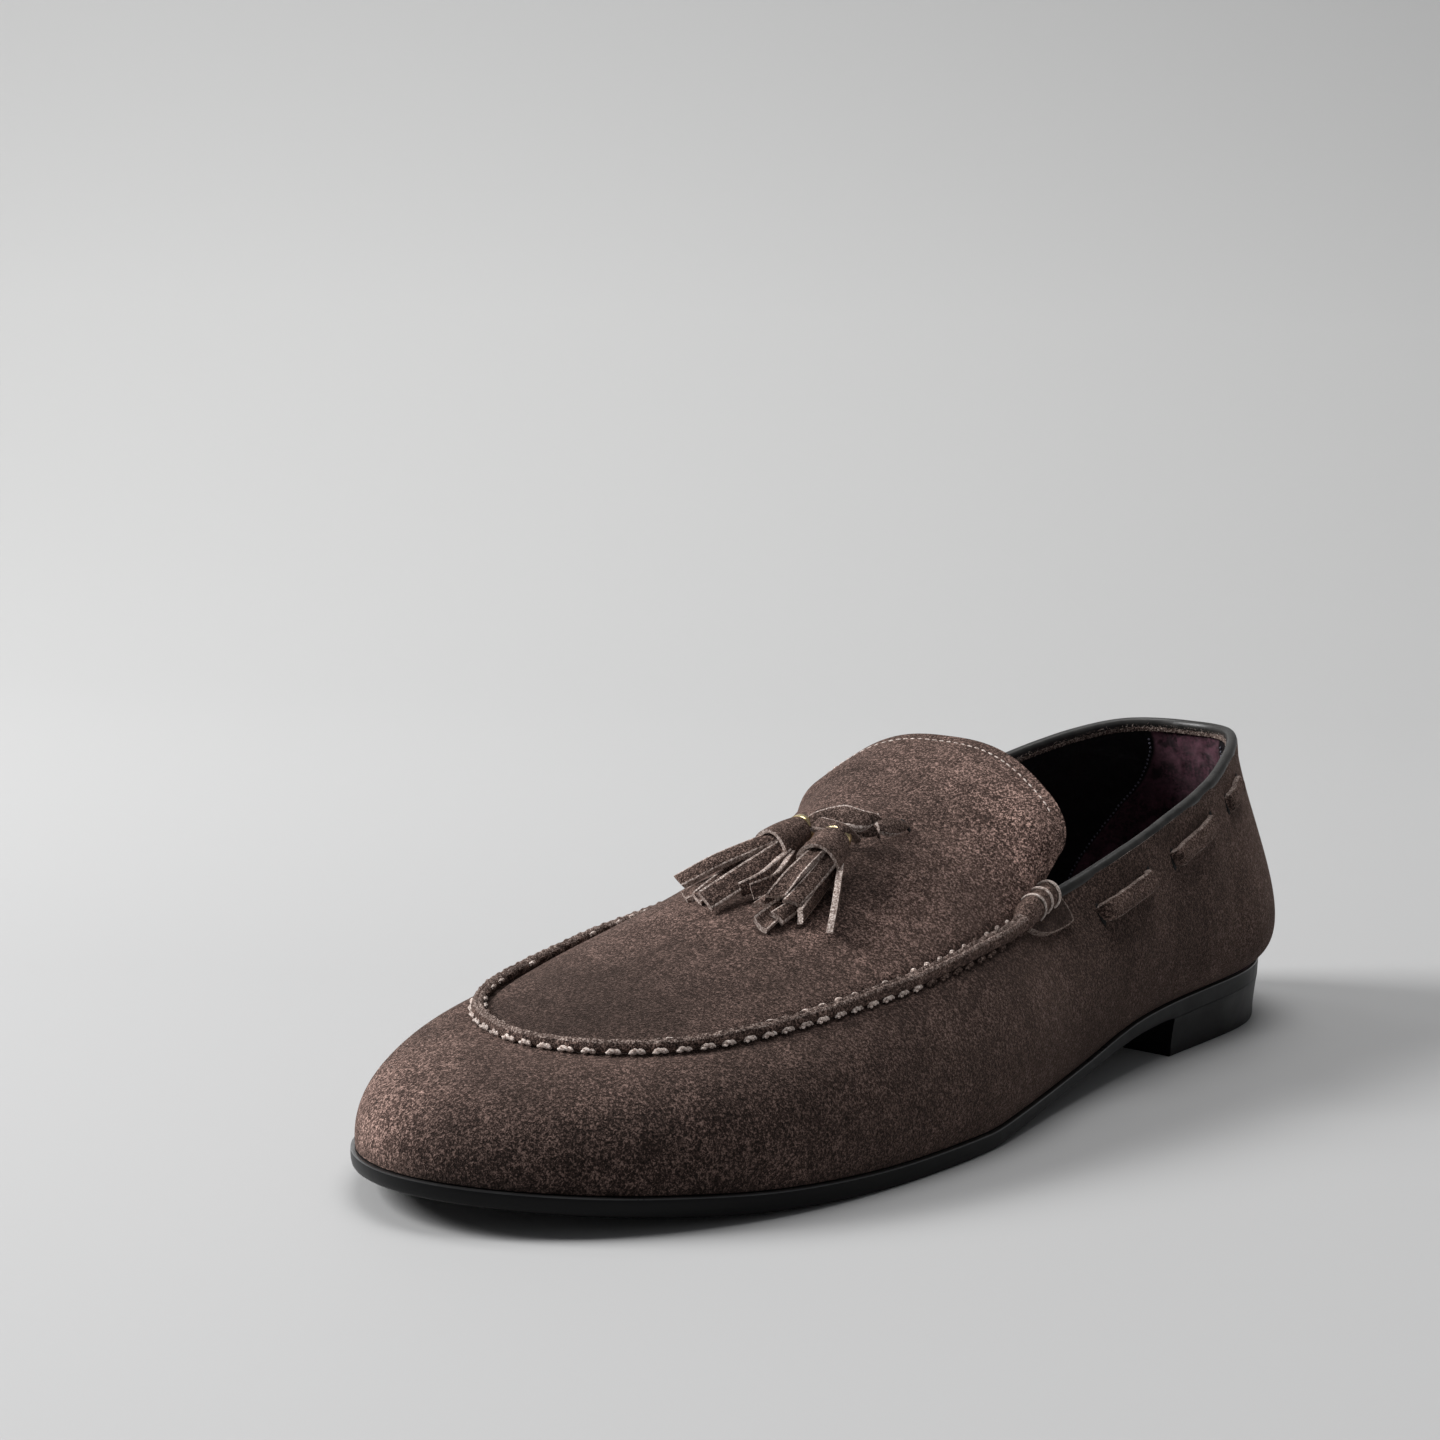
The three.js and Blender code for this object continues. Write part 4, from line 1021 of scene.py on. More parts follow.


# Patches where the apron is lighter or darker: painted light on the tongue's right side, painted shadows
# under the knot and beside the front tassel, and other lighter and darker patches: x, s, half sizes, how much
# lighter
APRON_LIGHT_AND_TONE_PATCHES = [
    (18, 152, 9, 12, 0.16),
    (27, 168, 7, 16, 0.16),
    (-8, 204, 12, 10, 0.06),
    (8, 212, 10, 8, 0.04),
    # Painted light on the tongue's right side
    (31, 130, 9, 16, 1.0),
    (14, 128, 24, 14, 0.2),
    (22, 185, 12, 18, 0.26),
    # Painted shadows under the knot and beside the front tassel
    (12.5, 163, 5, 5, -0.26),
    (17, 176, 5, 8, -0.22),
    (10, 198, 9, 9, -0.12),
    (2, 250, 36, 28, -0.34),
    (26, 215, 7, 22, -0.08),
    (12, 232, 12, 10, -0.05),
]


def apron_painted_light_and_tone(points, across):
    x, s = points[..., 0], points[..., 1]
    tone = np.full(x.shape, 0.5)
    for middle_x, middle_s, wide, long, lighter in APRON_LIGHT_AND_TONE_PATCHES:
        tone += lighter * bump_at(x, middle_x, wide) * bump_at(s, middle_s, long)
    # Painted shade along the apron's edges at the foot of the ridge
    tone -= 0.08 * bump_at(np.abs(across), 1, 0.05)
    return tone


def apron():
    a = np.concatenate([np.linspace(0, 1, 200, endpoint=False), np.linspace(1, 2, 46)])
    across = np.sin(np.linspace(-0.5, 0.5, 150) * math.pi)
    grid_a, grid_across = np.meshgrid(a, across, indexing="ij")
    smooth = apron_point(grid_a, grid_across)
    normals = grid_normals(smooth)
    normals = normals * np.sign(normals[..., 2].mean())
    normals[:, 0], normals[:, -1] = normals[:, 1], normals[:, -2]
    normals[0], normals[-1] = normals[1], normals[-2]
    steps = np.linalg.norm(np.diff(smooth, axis=1), axis=-1)
    far = np.pad(np.cumsum(steps, axis=1), ((0, 0), (1, 0)))
    from_edge = np.minimum(far, far[:, -1:] - far)
    groove = GROOVE_DEPTH * bump_at(from_edge, GROOVE_INSET, 1.5) * ease(0.97, 0.9, grid_a)
    outer = smooth + normals * (apron_detail(smooth) - groove)[..., None]
    under = np.minimum(1.0, ease(0.0, 0.02, grid_a) + 0.2)[..., None]
    inner = smooth - normals * WALL * 0.95 * under
    # Painted shade in the groove along the seam
    tone = apron_painted_light_and_tone(smooth, grid_across) - 0.16 * bump_at(from_edge, 2.2, 1.4) * ease(0.97, 0.9, grid_a)
    part = shell(outer, inner, finishes=(0, 2, 1))
    materials = [UPPER_SUEDE, CUT_EDGE, LINING_FRONT]
    return make("apron_and_tongue", part, materials, ["upper"], 60, {"tone": tone})


def seam_centre(distance):
    """The ridge's middle line, its directions and half its thickness. It swells where its ends are bound."""
    u = seam_u(distance)
    point, along, _, out = wall_frame(u, np.ones(u.shape))
    lift = unit(at(0, 0, 1) + out * 0.35)
    side = unit(np.cross(lift, along))
    side = np.where(dot(side, out) < 0, -side, side)
    from_end = np.minimum(distance, SEAM_LENGTH - distance)
    slim = mix(RIDGE_SLIM, RIDGE_MIDDLE, ease(120, 22, from_end))
    size = mix(slim, RIDGE_BOUND, ease(21, 13, from_end))
    inset = mix(0.4, -0.7, ease(40, 8, from_end))
    centre = point + lift * (RIDGE_RAISED * size)[:, None] - side * inset[:, None]
    return centre, along, side, lift, size


# Section of the ridge from its outer side over the top: turns in degrees, percent of the radius
BEAD_TURNS = [-60, -35, -10, 15, 40, 58, 72, 84, 92, 100, 112, 128, 150, 175, 205, 235, 270]
BEAD_PERCENT = [95, 103, 108, 108, 110, 116, 110, 84, 72, 84, 112, 112, 102, 102, 98, 95, 90]


def moc_ridge():
    """The raised seam: two edges stood up and sewn together, pinched by each stitch."""
    count = 1000
    distance = np.linspace(0.4, SEAM_LENGTH - 0.4, count)
    centre, _, side, lift, size = seam_centre(distance)
    pinch = stitch_wave(distance)
    from_end = np.minimum(distance, SEAM_LENGTH - distance)
    radius = size * (1 - 0.08 * pinch) * (0.35 + 0.65 * ease(0, 2.2, from_end))
    bound = bump_at(np.mod(from_end - 0.2, WRAP_STEP), WRAP_START - 0.2, 0.7) * ease(16, 12, from_end)
    radius = radius * (1 - 0.07 * bound)
    centre = centre + lift * (0.07 * np.sin(distance / 5.3))[:, None]
    centre = centre + side * (0.1 * np.sin(distance / 3.1) + 0.07 * np.sin(distance / 1.37 + 1))[:, None]
    turns = np.radians(BEAD_TURNS)
    shares = 1 + (np.array(BEAD_PERCENT)[None] / 100 - 1) * ease(14, 24, from_end)[:, None]
    lips = bump_at(turns, math.radians(75), 0.7)
    ragged = 1 + 0.07 * np.sin(distance[:, None] * 2.3 + turns[None] * 5) * lips
    reach = radius[:, None] * shares * ragged
    ring = centre[:, None] + side[:, None] * (reach * np.cos(turns))[..., None]
    ring = ring + lift[:, None] * (reach * 1.12 * np.sin(turns))[..., None]
    points, faces = capped(ring, ring[0].mean(0), ring[-1].mean(0))
    m = len(turns)
    finish = [1 if 4 <= (k % m) <= 11 and from_end[k // m] >= 18 else 0 for k in range((count - 1) * m)]
    finish += [0] * (2 * m)
    return make("moc_ridge", (points, faces, finish), [TRIM_SUEDE, RIDGE_EDGE], ["upper"], 70)


def twisted(ends, rise, normal, radius, finish):
    """A short stitch of two strands twisted together, bowed up in the middle."""
    start, end = ends
    steps = np.linspace(0, 1, 13)
    line = start + (end - start) * steps[:, None] + normal * (rise * np.sin(math.pi * steps))[:, None]
    along = unit(end - start)
    side = unit(np.cross(along, normal))
    parts = []
    for phase in (0, math.pi):
        angle = phase + 2.2 * math.pi * steps
        offset = side * np.cos(angle)[:, None] + normal * np.sin(angle)[:, None]
        swell = radius * (0.55 + 0.45 * np.clip(np.sin(math.pi * steps), 0, 1) ** 0.35)
        parts.append(tube(line + offset * radius * 0.5, swell * 0.62, 6, normal, finish))
    return parts


def seam_stitches():
    """Hand stitches along the outer foot of the ridge and their small turns along its inner foot."""
    parts = []
    for k in range(STITCHES):
        middle = STITCH_START + (k + 0.5) * PITCH
        if min(middle, SEAM_LENGTH - middle) < 17:
            continue
        jitter = rng.uniform(-0.2, 0.2, 4)
        ends = np.array([middle - PITCH * 0.35 + jitter[0], middle + PITCH * 0.27 + jitter[1]])
        toe = float(ease(165, 225, rim_s(seam_u(middle))))
        point, _, up, out = below_edge(seam_u(ends), np.array([0.85, 1.2]) * mix(1.4, 1.0, toe))
        foot = point + out * np.array([[0.2], [0.3]])
        normal = unit(out[0] + up[0] * 0.2)
        # Off the toe the outer stitches are painted darker, as shade under the ridge
        parts += twisted(foot, 0.4, normal, 0.55 + 0.03 * toe + 0.1 * jitter[2], 0 if toe > 0.3 else 1)
        nub = STITCH_START + (k + 1) * PITCH
        long = mix(0.4, 1.0, toe)
        centre, _, side, lift, size = seam_centre(np.array([nub - long, nub + long]))
        inwards, upwards = (size * mix(0.86, 1.1, toe))[:, None], (size * mix(0.8, 0.4, toe))[:, None]
        foot = centre - side * inwards + lift * upwards
        finish = 0 if rng.uniform() < mix(0.75, 0.3, toe) else 1
        parts += twisted(foot, 0.25, unit(lift[0] - side[0]), 0.42 + jitter[3] * 0.4, finish)
    return make("seam_stitches", joined(parts), [THREAD_LIGHT, THREAD_SHADED_AND_DARK], (), 50)


def seam_wraps():
    """Turns of thread that bind each end of the seam."""
    parts = []
    turns = np.linspace(-0.3, 1.12, 30) * math.pi
    radii = np.interp(np.linspace(0, 1, 30), [0, 0.08, 0.5, 1], [0.42, 0.22, 0.24, 0.3])
    for first, step in ((WRAP_START, 1), (SEAM_LENGTH - WRAP_START, -1)):
        for k in range(WRAPS):
            distance = first + step * k * WRAP_STEP
            centre, along, side, lift, size = seam_centre(np.array([distance, distance + 0.01]))
            wide = size[0] * 1.02
            ring = centre[0] + side[0] * (np.cos(turns) * wide)[:, None]
            ring = ring + lift[0] * (np.sin(turns) * wide * 1.12)[:, None]
            ring = ring + along[0] * (np.linspace(-0.8, 0.8, 30) * step)[:, None]
            for strand in (-0.2, 0.2):
                parts.append(tube(ring + along[0] * strand, radii, 7, along[0]))
    return make("seam_wraps", joined(parts), [THREAD_LIGHT, THREAD_SHADED_AND_DARK], (), 50)


def rim_points(inset, count):
    """Points on the tongue, each inset from its cut edge."""
    turn = np.linspace(-1, 1, 1201)
    cross = np.sin(turn * math.pi / 2)
    edge_line = apron_point(np.full(cross.shape, 2.0), cross)
    picked = []
    for c in cross[12:-12:6]:
        t = np.linspace(0, 1, 160)
        line = apron_point(2 - 1.15 * t, c * (1 - 0.45 * t))
        near = np.linalg.norm(line[:, None] - edge_line[None, ::4], axis=-1).min(1)
        far = np.argmax(near > inset)
        if near[far] <= inset:
            continue
        picked.append(line[far])
    return resample(np.array(picked), count)


def surface_lift(points, height):
    """Moves points on the tongue up from it."""
    along = unit(np.gradient(points, axis=0))
    centre = points.mean(0)
    inwards = unit(centre - points)
    normal = unit(np.cross(along, inwards))
    normal = np.where(normal[..., 2:] < 0, -normal, normal)
    return points + normal * height, normal


def tongue_stitches():
    line = rim_points(TONGUE_STITCH_INSET, 1500)
    count = int(steps_along(line)[-1] / TONGUE_STITCH_PITCH)
    lifted, normals = surface_lift(resample(line, count * 8), 0.06)
    part = stitch_row(lifted, normals, [0.1, 0.17, 0.2, 0.2, 0.17, 0.1])
    return make("tongue_stitches", part, [THREAD_LIGHT], (), 50)


# Collar
def collar_frames(us):
    point, along, _, out = wall_frame(us, np.ones(us.shape))
    rise = unit(np.cross(along, out))
    rise = np.where(rise[..., 2:] < 0, -rise, rise)
    return point, along, out, rise


def topline_piping():
    end = THROAT_U - (BINDING_SETBACK + 0.4) / (2 * HALF_ROUND)
    us = np.linspace(-end, end, 520)
    point, _, out, rise = collar_frames(us)
    sink = PIPING_SINK * ease(end - PIPING_SINK_LENGTH / (2 * HALF_ROUND), end, np.abs(us))
    point = point - rise * sink[:, None]
    far = steps_along(point)
    wave = 0.03 * np.sin(far / 2.9) + 0.02 * np.sin(far / 1.7 + 2)
    centre = point - out * WALL / 2 + rise * (GAP + BINDING_HEIGHT / 2 - 0.15) + out * wave[:, None]
    turns = np.linspace(0, 2 * math.pi, 20, endpoint=False)
    squarer = 0.92
    x = np.sign(np.cos(turns)) * np.abs(np.cos(turns)) ** squarer * (WALL / 2 + 0.3)
    y = np.sign(np.sin(turns)) * np.abs(np.sin(turns)) ** squarer * (BINDING_HEIGHT / 2 - 0.05)
    ring = centre[:, None] + out[:, None] * x[None, :, None] + rise[:, None] * y[None, :, None]
    points, faces = capped(ring, ring[0].mean(0), ring[-1].mean(0))
    part = (points, faces, [0] * len(faces))
    return make("topline_piping", part, [PIPING_LEATHER], ["topline_binding"], 60)


def lining_trim():
    """The trimmed, fuzzy edge of the lining inside the piping."""
    end = THROAT_U - 6 / (2 * HALF_ROUND)
    steps = np.arange(900)
    point, along, out, rise = collar_frames(np.linspace(-end, end, 900))
    rough = 0.12 * np.sin(steps * 1.9) + 0.1 * np.sin(steps * 0.83 + 1) + rng.uniform(-0.1, 0.1, 900)
    path = point - out * (WALL + 0.3) + rise * (0.5 + rough[:, None])
    strip = ribbon(path, rise, 0.9 + 0.5 * rough, 0.45)
    fibres = []
    for k in rng.choice(880, 760, replace=False):
        base = path[k] + rise[k] * rng.uniform(0.2, 1.2) - out[k] * 0.1
        lean = along[k] * rng.uniform(-0.7, 0.7) - out[k] * rng.uniform(0.0, 0.5)
        lean = lean + rise[k] * rng.uniform(-0.2, 0.9)
        tip = base + lean * rng.uniform(0.4, 0.95)
        line = np.array([base, (base + tip) / 2 + rise[k] * 0.06, tip])
        fibres.append(tube(line, [0.06, 0.05, 0.02], 3, out[k], 1))
    return make("lining_trim", joined([strip, *fibres]), [RIDGE_EDGE, CUT_EDGE], (), 60)


tab_top = monotone_through(np.array([0, 0.5, 0.72, 0.84, 1.0]), np.array([0.0, -0.6, -2.0, -3.0, -0.1]))
tab_bottom = monotone_through(np.array([0, 0.14, 0.45, 0.82, 1.0]), np.array([2.2, 4.4, 6.7, 7.5, 7.0]))


def wall_or_above(us, distance):
    """Places under the top edge, or over it where the distance is negative."""
    point, _, _, out = below_edge(us, np.maximum(distance, 0))
    rise = at(0, 0, 1) + 0 * out
    return point + rise * np.maximum(-distance, 0)[..., None], out


def seam_tab(side, word):
    """The small piece of suede that the end of the seam is sewn on to."""
    downs = np.concatenate([[0, 0.03], np.linspace(0.08, 0.92, 14), [0.97, 1]])
    t, w = np.meshgrid(np.linspace(0, 1, 44), downs, indexing="ij")
    us = side * rim_u(mix(TAB_FRONT, TAB_BACK, t))
    point, out = wall_or_above(us, mix(tab_top(t), tab_bottom(t), w))
    puff = TAB_PUFF + 0.25 * (4 * w * (1 - w)) + 0.12 * np.sin(t * 11 + w * 5)
    points, faces, finish = shell(point + out * puff[..., None], point + out * 0.1, finishes=(0, 0, 1))
    columns = w.shape[1] - 1
    for k in range((t.shape[0] - 1) * columns):
        if k % columns == columns - 1 or k // columns == t.shape[0] - 2:
            finish[k] = 1
    part = (points, faces, finish)
    return make(f"seam_tab_{word}", part, [TAB_SUEDE, TAB_EDGE], [f"seam_patch_{word}"], 50)


def lace_span(side, lace, count, extra=0.0):
    """Places of a lace, its length measured along the wall."""
    _, station, below, forward, back, *_ = lace
    us = rim_u(np.linspace(max(2.0, station * LENGTH - 22), station * LENGTH + 22, 400))
    far = steps_along(below_edge(us, np.full(400, below))[0])
    middle = np.interp(rim_u(station * LENGTH), us, far)
    wanted = np.linspace(middle - back - extra, middle + forward + extra, count)
    return side * np.interp(wanted, far, us)


def side_lace(side, lace):
    """A suede lace that shows between two slits, with its ends tucked in."""
    _, station, below, _, _, front_drop, back_drop, proud = lace
    t = np.linspace(0, 1, 48)
    us = lace_span(side, lace, 48)
    point, along, up, out = below_edge(us, below + mix(back_drop, front_drop, t))
    tucked = ease(0, 0.07, t) * ease(1, 0.94, t)
    lift = mix(-0.5, proud, tucked) + 0.2 * np.sin(t * 9 + station * 20)
    widths = LACE_WIDTH * (0.9 + 0.2 * tucked) + 0.12 * np.sin(t * 23 + station * 40)
    half = up * (widths / 2)[:, None] + along * LACE_SLANT
    middle = point + out * lift[:, None]
    return strap(middle + half, middle - half, LACE_THICKNESS, 0.5, 48, (0, 7))


def lace_slit(side, lace, end):
    """A dark sheet in the wall where a lace goes in: painted shadow inside its slit."""
    below, front_drop, back_drop = lace[2], lace[5], lace[6]
    u = np.full(13, lace_span(side, lace, 2, 0.3)[end])
    t = np.linspace(-1, 1, 13)
    distance = below + (front_drop if end else back_drop) + t * (LACE_WIDTH * 0.64)
    point, along, _, out = below_edge(u, distance)
    opening = 0.85 * np.sqrt(np.maximum(0, 1 - t * t)) + 0.05
    return ribbon(point + out * 0.05, along, opening * 2, 0.22)


def side_laces():
    slits = []
    for side, word in ((1, "outer"), (-1, "inner")):
        for lace in LACES:
            name = f"{word}_{lace[0]}"
            part = side_lace(side, lace)
            make(f"side_lace_{name}", part, [TRIM_SUEDE, LACE_EDGE], [f"lace_bar_{name}"], 50)
            slits += [lace_slit(side, lace, end) for end in (0, 1)]
    make("lace_slits", joined(slits), [SLIT_SHADOW], (), 60)


# Tassels. A place on the apron is x, s and the height over it. Each strip is its bulge, then the places of
# one edge and of the other.
TASSEL_STRIPS = {
    "inner": [
        (0.4, (-3.4, 179.5, 8.2), (-10.6, 189.2, 7.2), (-19.2, 192.6, 4.7),
         (-0.4, 180.5, 7.0), (-7.8, 190.4, 5.2), (-16.2, 194.6, 2.6)),
        (0.3, (-0.6, 180.0, 7.4), (-3.2, 193.7, 6.0), (-5.9, 201.7, 4.4),
         (1.6, 180.5, 4.6), (0.7, 193.1, 3.0), (-2.0, 202.8, 1.2)),
        (-0.4, (-4.6, 179.0, 5.0), (-8.8, 189.1, 3.8), (-10.5, 198.6, 2.4),
         (-1.6, 180.0, 4.0), (-5.5, 191.4, 2.4), (-7.6, 199.8, 0.9)),
        (0.2, (1.6, 180.4, 6.0), (1.7, 190.4, 5.2), (-0.8, 195.1, 4.3),
         (1.6, 180.4, 2.8), (3.4, 190.0, 1.9), (0.4, 195.6, 1.1)),
        (-0.2, (2.2, 180.0, 5.4), (4.4, 188.8, 5.0), (1.5, 194.1, 4.1),
         (2.2, 180.0, 2.0), (6.2, 190.0, 1.6), (2.8, 194.8, 0.8)),
        (0.3, (-5.4, 179.0, 3.8), (-10.5, 188.0, 2.6), (-16.0, 196.0, 1.7),
         (-2.8, 180.0, 2.4), (-8.0, 191.0, 1.4), (-12.6, 198.6, 0.8)),
    ],
    "outer": [
        (-0.5, (8.0, 178.6, 8.6), (8.6, 191.0, 7.2), (8.7, 198.0, 5.0),
         (11.0, 179.0, 9.2), (11.8, 189.1, 7.7), (11.6, 194.9, 4.7)),
        (0.4, (10.4, 178.8, 8.2), (11.6, 188.2, 6.6), (11.7, 196.2, 4.1),
         (13.4, 178.8, 7.0), (14.4, 186.2, 5.4), (15.0, 194.2, 3.2)),
        (0.1, (13.6, 179.0, 6.4), (19.7, 189.1, 5.2), (24.5, 197.0, 3.4),
         (12.0, 177.0, 2.8), (17.2, 184.4, 1.6), (22.2, 193.0, 0.6)),
        (0.2, (12.0, 178.6, 5.2), (13.6, 187.6, 4.8), (15.4, 195.2, 3.3),
         (12.0, 178.0, 2.8), (14.4, 186.6, 1.9), (16.8, 196.6, 0.9)),
        (0.9, (7.8, 179.0, 5.6), (7.7, 190.5, 4.4), (6.7, 200.1, 3.0),
         (10.4, 179.4, 4.8), (10.6, 190.4, 3.2), (9.2, 198.4, 2.4)),
        (-0.8, (9.0, 179.0, 4.4), (9.4, 191.1, 3.2), (9.5, 202.8, 2.3),
         (11.2, 179.0, 3.0), (12.3, 190.3, 2.0), (13.5, 203.5, 1.0)),
        (0.7, (10.0, 179.0, 3.8), (11.7, 190.2, 3.2), (11.3, 200.0, 2.7),
         (11.8, 178.6, 2.6), (14.0, 189.4, 1.8), (14.4, 199.4, 1.0)),
    ],
}
# Caps: places of the ring and of the mouth, the radius at each, and where the overlap starts, in degrees
TASSEL_CAPS = {
    "inner": ((-2.1, 170.6, 5.5), (-1.9, 181.6, 5.6), 2.4, 4.5, 215),
    "outer": ((8.9, 173.4, 8.0), (10.5, 181.8, 6.0), 2.5, 4.8, 150),
}


def places(rows):
    return np.array([over_apron(*row) for row in rows])


def leaf(edges, thick, bulge, count, raw=(0, 1, 6, 7)):
    """A strap from the places of its two edges."""
    half = len(edges) // 2
    return strap(places(edges[:half]), places(edges[half:]), thick, bulge, count, raw)


def cap_frame(name):
    ring, mouth, small, wide, turn = TASSEL_CAPS[name]
    start, end = over_apron(*ring), over_apron(*mouth)
    along = unit(end - start)
    normal = apron_normal(*mouth[:2])
    side = unit(np.cross(along, normal))
    return start, end, along, side, np.cross(side, along), small, wide, math.radians(turn)


def tassel_cap(name):
    """A piece of suede rolled round the top of the strips, with its edge lapped over itself."""
    start, end, along, side, up, small, wide, turn = cap_frame(name)
    t, turns = np.meshgrid(np.linspace(0, 1, 26), np.linspace(0, 1, 90), indexing="ij")
    angle = turn + turns * 2 * math.pi * CAP_TURNS
    reach = mix(small, wide, t**0.55) + 0.9 * turns**3 * t**0.5
    reach = reach + 0.12 * np.sin(angle * 3 + t * 4) * t
    skirt = 0.35 * np.sin(angle * 2 + 1) * t**3
    length = np.linalg.norm(end - start)
    centre = start + along * (t * length + skirt)[..., None]
    radial = side * np.cos(angle)[..., None] + up * np.sin(angle)[..., None]
    outer = centre + radial * reach[..., None]
    inner = centre + radial * (reach - CAP_THICKNESS)[..., None]
    return shell(outer, inner, finishes=(0, 0, 1))


def tassel(name):
    strips = [leaf(edges, STRIP_THICKNESS, bulge, 34) for bulge, *edges in TASSEL_STRIPS[name]]
    part = joined([tassel_cap(name), *strips])
    return make(f"suede_tassel_{name}", part, [TRIM_SUEDE, CUT_EDGE], [f"tassel_{name}"], 50)


# Section of a brass band: how far along the tassel and how far out
BAND_ALONG = [-0.55, -0.65, -0.45, 0.2, 0.8, 0.98, 1.0, 0.9, 0.0, -0.55]
BAND_OUT = [0.1, 0.42, 0.62, 0.7, 0.82, 0.72, 0.4, 0.1, 0.0, 0.1]


def tassel_band(name):
    """The brass band round the neck of a tassel."""
    start, _, along, side, up, small, _, _ = cap_frame(name)
    turns = np.linspace(0, 2 * math.pi, 64, endpoint=False)
    radial = side * np.cos(turns)[:, None] + up * np.sin(turns)[:, None]
    rings = np.array([start + along * far + radial * (small + out) for far, out in zip(BAND_ALONG, BAND_OUT)])
    part = (rings.reshape(-1, 3), grid_faces(len(rings), 64, wrap=True), [0] * (len(rings) - 1) * 64)
    return make(f"brass_band_{name}", part, [BRASS], [f"tassel_ring_{name}"], 45)


# The knot's laps: thickness, bulge and raw columns, then the places of one edge and of the other
KNOT_LAPS = [
    (1.5, 0.4, (0, 1, 6, 7),
     (-1.8, 169.9, 6.6), (-0.2, 168.3, 8.0), (2.6, 166.5, 9.0),
     (5.1, 164.7, 9.4), (8.2, 163.6, 9.0), (10.2, 161.2, 8.0),
     (0.2, 171.8, 5.0), (3.4, 169.6, 6.6), (8.0, 169.2, 7.4),
     (9.8, 168.0, 7.0), (10.6, 165.0, 6.6), (10.2, 161.4, 7.0)),
    (1.3, 0.4, (0, 1),
     (3.3, 165.9, 7.4), (6.6, 164.8, 7.6), (8.6, 163.4, 7.2), (9.9, 162.6, 5.4), (11.1, 162.1, 3.8),
     (5.3, 167.6, 7.0), (9.1, 167.9, 5.6), (9.9, 166.7, 4.6), (10.6, 164.3, 3.8), (11.0, 162.0, 3.5)),
    (1.2, 0.3, (0, 1),
     (4.3, 171.6, 9.6), (8.0, 172.5, 10.6), (10.1, 171.9, 10.0), (10.2, 169.8, 7.6), (9.6, 167.2, 4.6),
     (3.3, 174.0, 8.2), (8.7, 175.1, 10.0), (10.6, 174.4, 9.8), (10.4, 171.5, 7.2), (9.8, 169.0, 4.2)),
    (1.0, 0.4, (7,),
     (7.9, 159.0, 4.0), (8.7, 155.4, 3.4), (10.2, 152.7, 2.2), (10.9, 150.8, 0.5),
     (9.8, 160.0, 2.6), (11.3, 158.7, 2.0), (11.9, 156.3, 1.2), (11.6, 153.0, 0.4)),
]
KNOT_SLIT = (10.2, 150.6)


def knot():
    parts = [leaf(edges, thick, bulge, 40, raw) for thick, bulge, raw, *edges in KNOT_LAPS]
    return make("lace_knot", joined(parts), [KNOT_SUEDE, CUT_EDGE], ["tassel_knot"], 50)


# A dark sheet on the apron at the end of the knot's tail: painted shadow inside its slit
def knot_slit():
    x, s = KNOT_SLIT
    t = np.linspace(-1, 1, 15)
    line = places([(x + 2.2 * k, s + 1.2 * k, 0.1) for k in t])
    along = unit(apron_at(x, s + 0.5) - apron_at(x, s - 0.5))
    opening = 0.55 * np.sqrt(np.maximum(0, 1 - t * t)) + 0.04
    return make("knot_slit", ribbon(line, along, opening * 2, 0.25), [SLIT_SHADOW], (), 60)


# Under the foot
def slab(us, levels):
    """A flat layer whose side is a stack of levels of inset and height. The side has finish 0, the rest 1."""
    rings = []
    for inset, height in levels:
        inset = inset(edge_s(us)) if callable(inset) else inset
        sides = []
        for side_us in (us, 1 - us):
            x, s, _, _ = sole_edge(side_us, inset)
            sides.append(at(x, s, height(s)))
        rings.append(np.concatenate([sides[0], sides[1][::-1]]))
    rings = np.array(rings)
    n, m = rings.shape[:2]
    faces = grid_faces(n, m, wrap=True)
    finish = [0] * len(faces)
    count = len(us)
    across = 8
    points = [rings.reshape(-1, 3)]
    start = n * m
    for level, sign in ((0, 1), (n - 1, -1)):
        outer, inner = rings[level][:count], rings[level][count:][::-1]
        t = np.linspace(0, 1, across + 1)
        cap = outer[:, None] * (1 - t)[None, :, None] + inner[:, None] * t[None, :, None]
        points.append(cap.reshape(-1, 3))
        faces += grid_faces(count, across + 1, flip=sign > 0, start=start)
        finish += [1] * ((count - 1) * across)
        start += count * (across + 1)
    return np.concatenate(points), faces, finish


def before_heel(s):
    """0 over the heel block and 1 before it."""
    return ease(HEEL_LENGTH - 1, HEEL_LENGTH + 4, s)


def outsole():
    us = np.linspace(0, 0.5, 260)
    levels = [
        (1.0, sole_top),
        (0.32, sole_top),
        (0.08, lambda s: sole_top(s) - 0.1),
        (0.0, lambda s: sole_top(s) - 0.32),
        (0.0, lambda s: sole_top(s) - thickness(s) * 0.35),
        (0.06, lambda s: mix(underside(s), sole_top(s), 0.4)),
        (lambda s: mix(0.1, SOLE_UNDERCUT * 0.7, before_heel(s)), lambda s: underside(s) + 0.5),
        (
            lambda s: mix(0.12, SOLE_UNDERCUT + 0.12, before_heel(s)),
            lambda s: underside(s) + mix(0.04, 0.16, before_heel(s)),
        ),
        (SOLE_UNDERCUT + 0.4, underside),
        (6.0, underside),
    ]
    points, faces, finish = slab(us, levels)
    # The rounded top rim gets the lighter rim material as a painted highlight
    for k in range(3 * 2 * len(us)):
        finish[k] = 2
    return make("sole", (points, faces, finish), [SOLE_EDGE, SOLE_TREAD, SOLE_RIM_HIGHLIGHT], ["outsole"], 35)


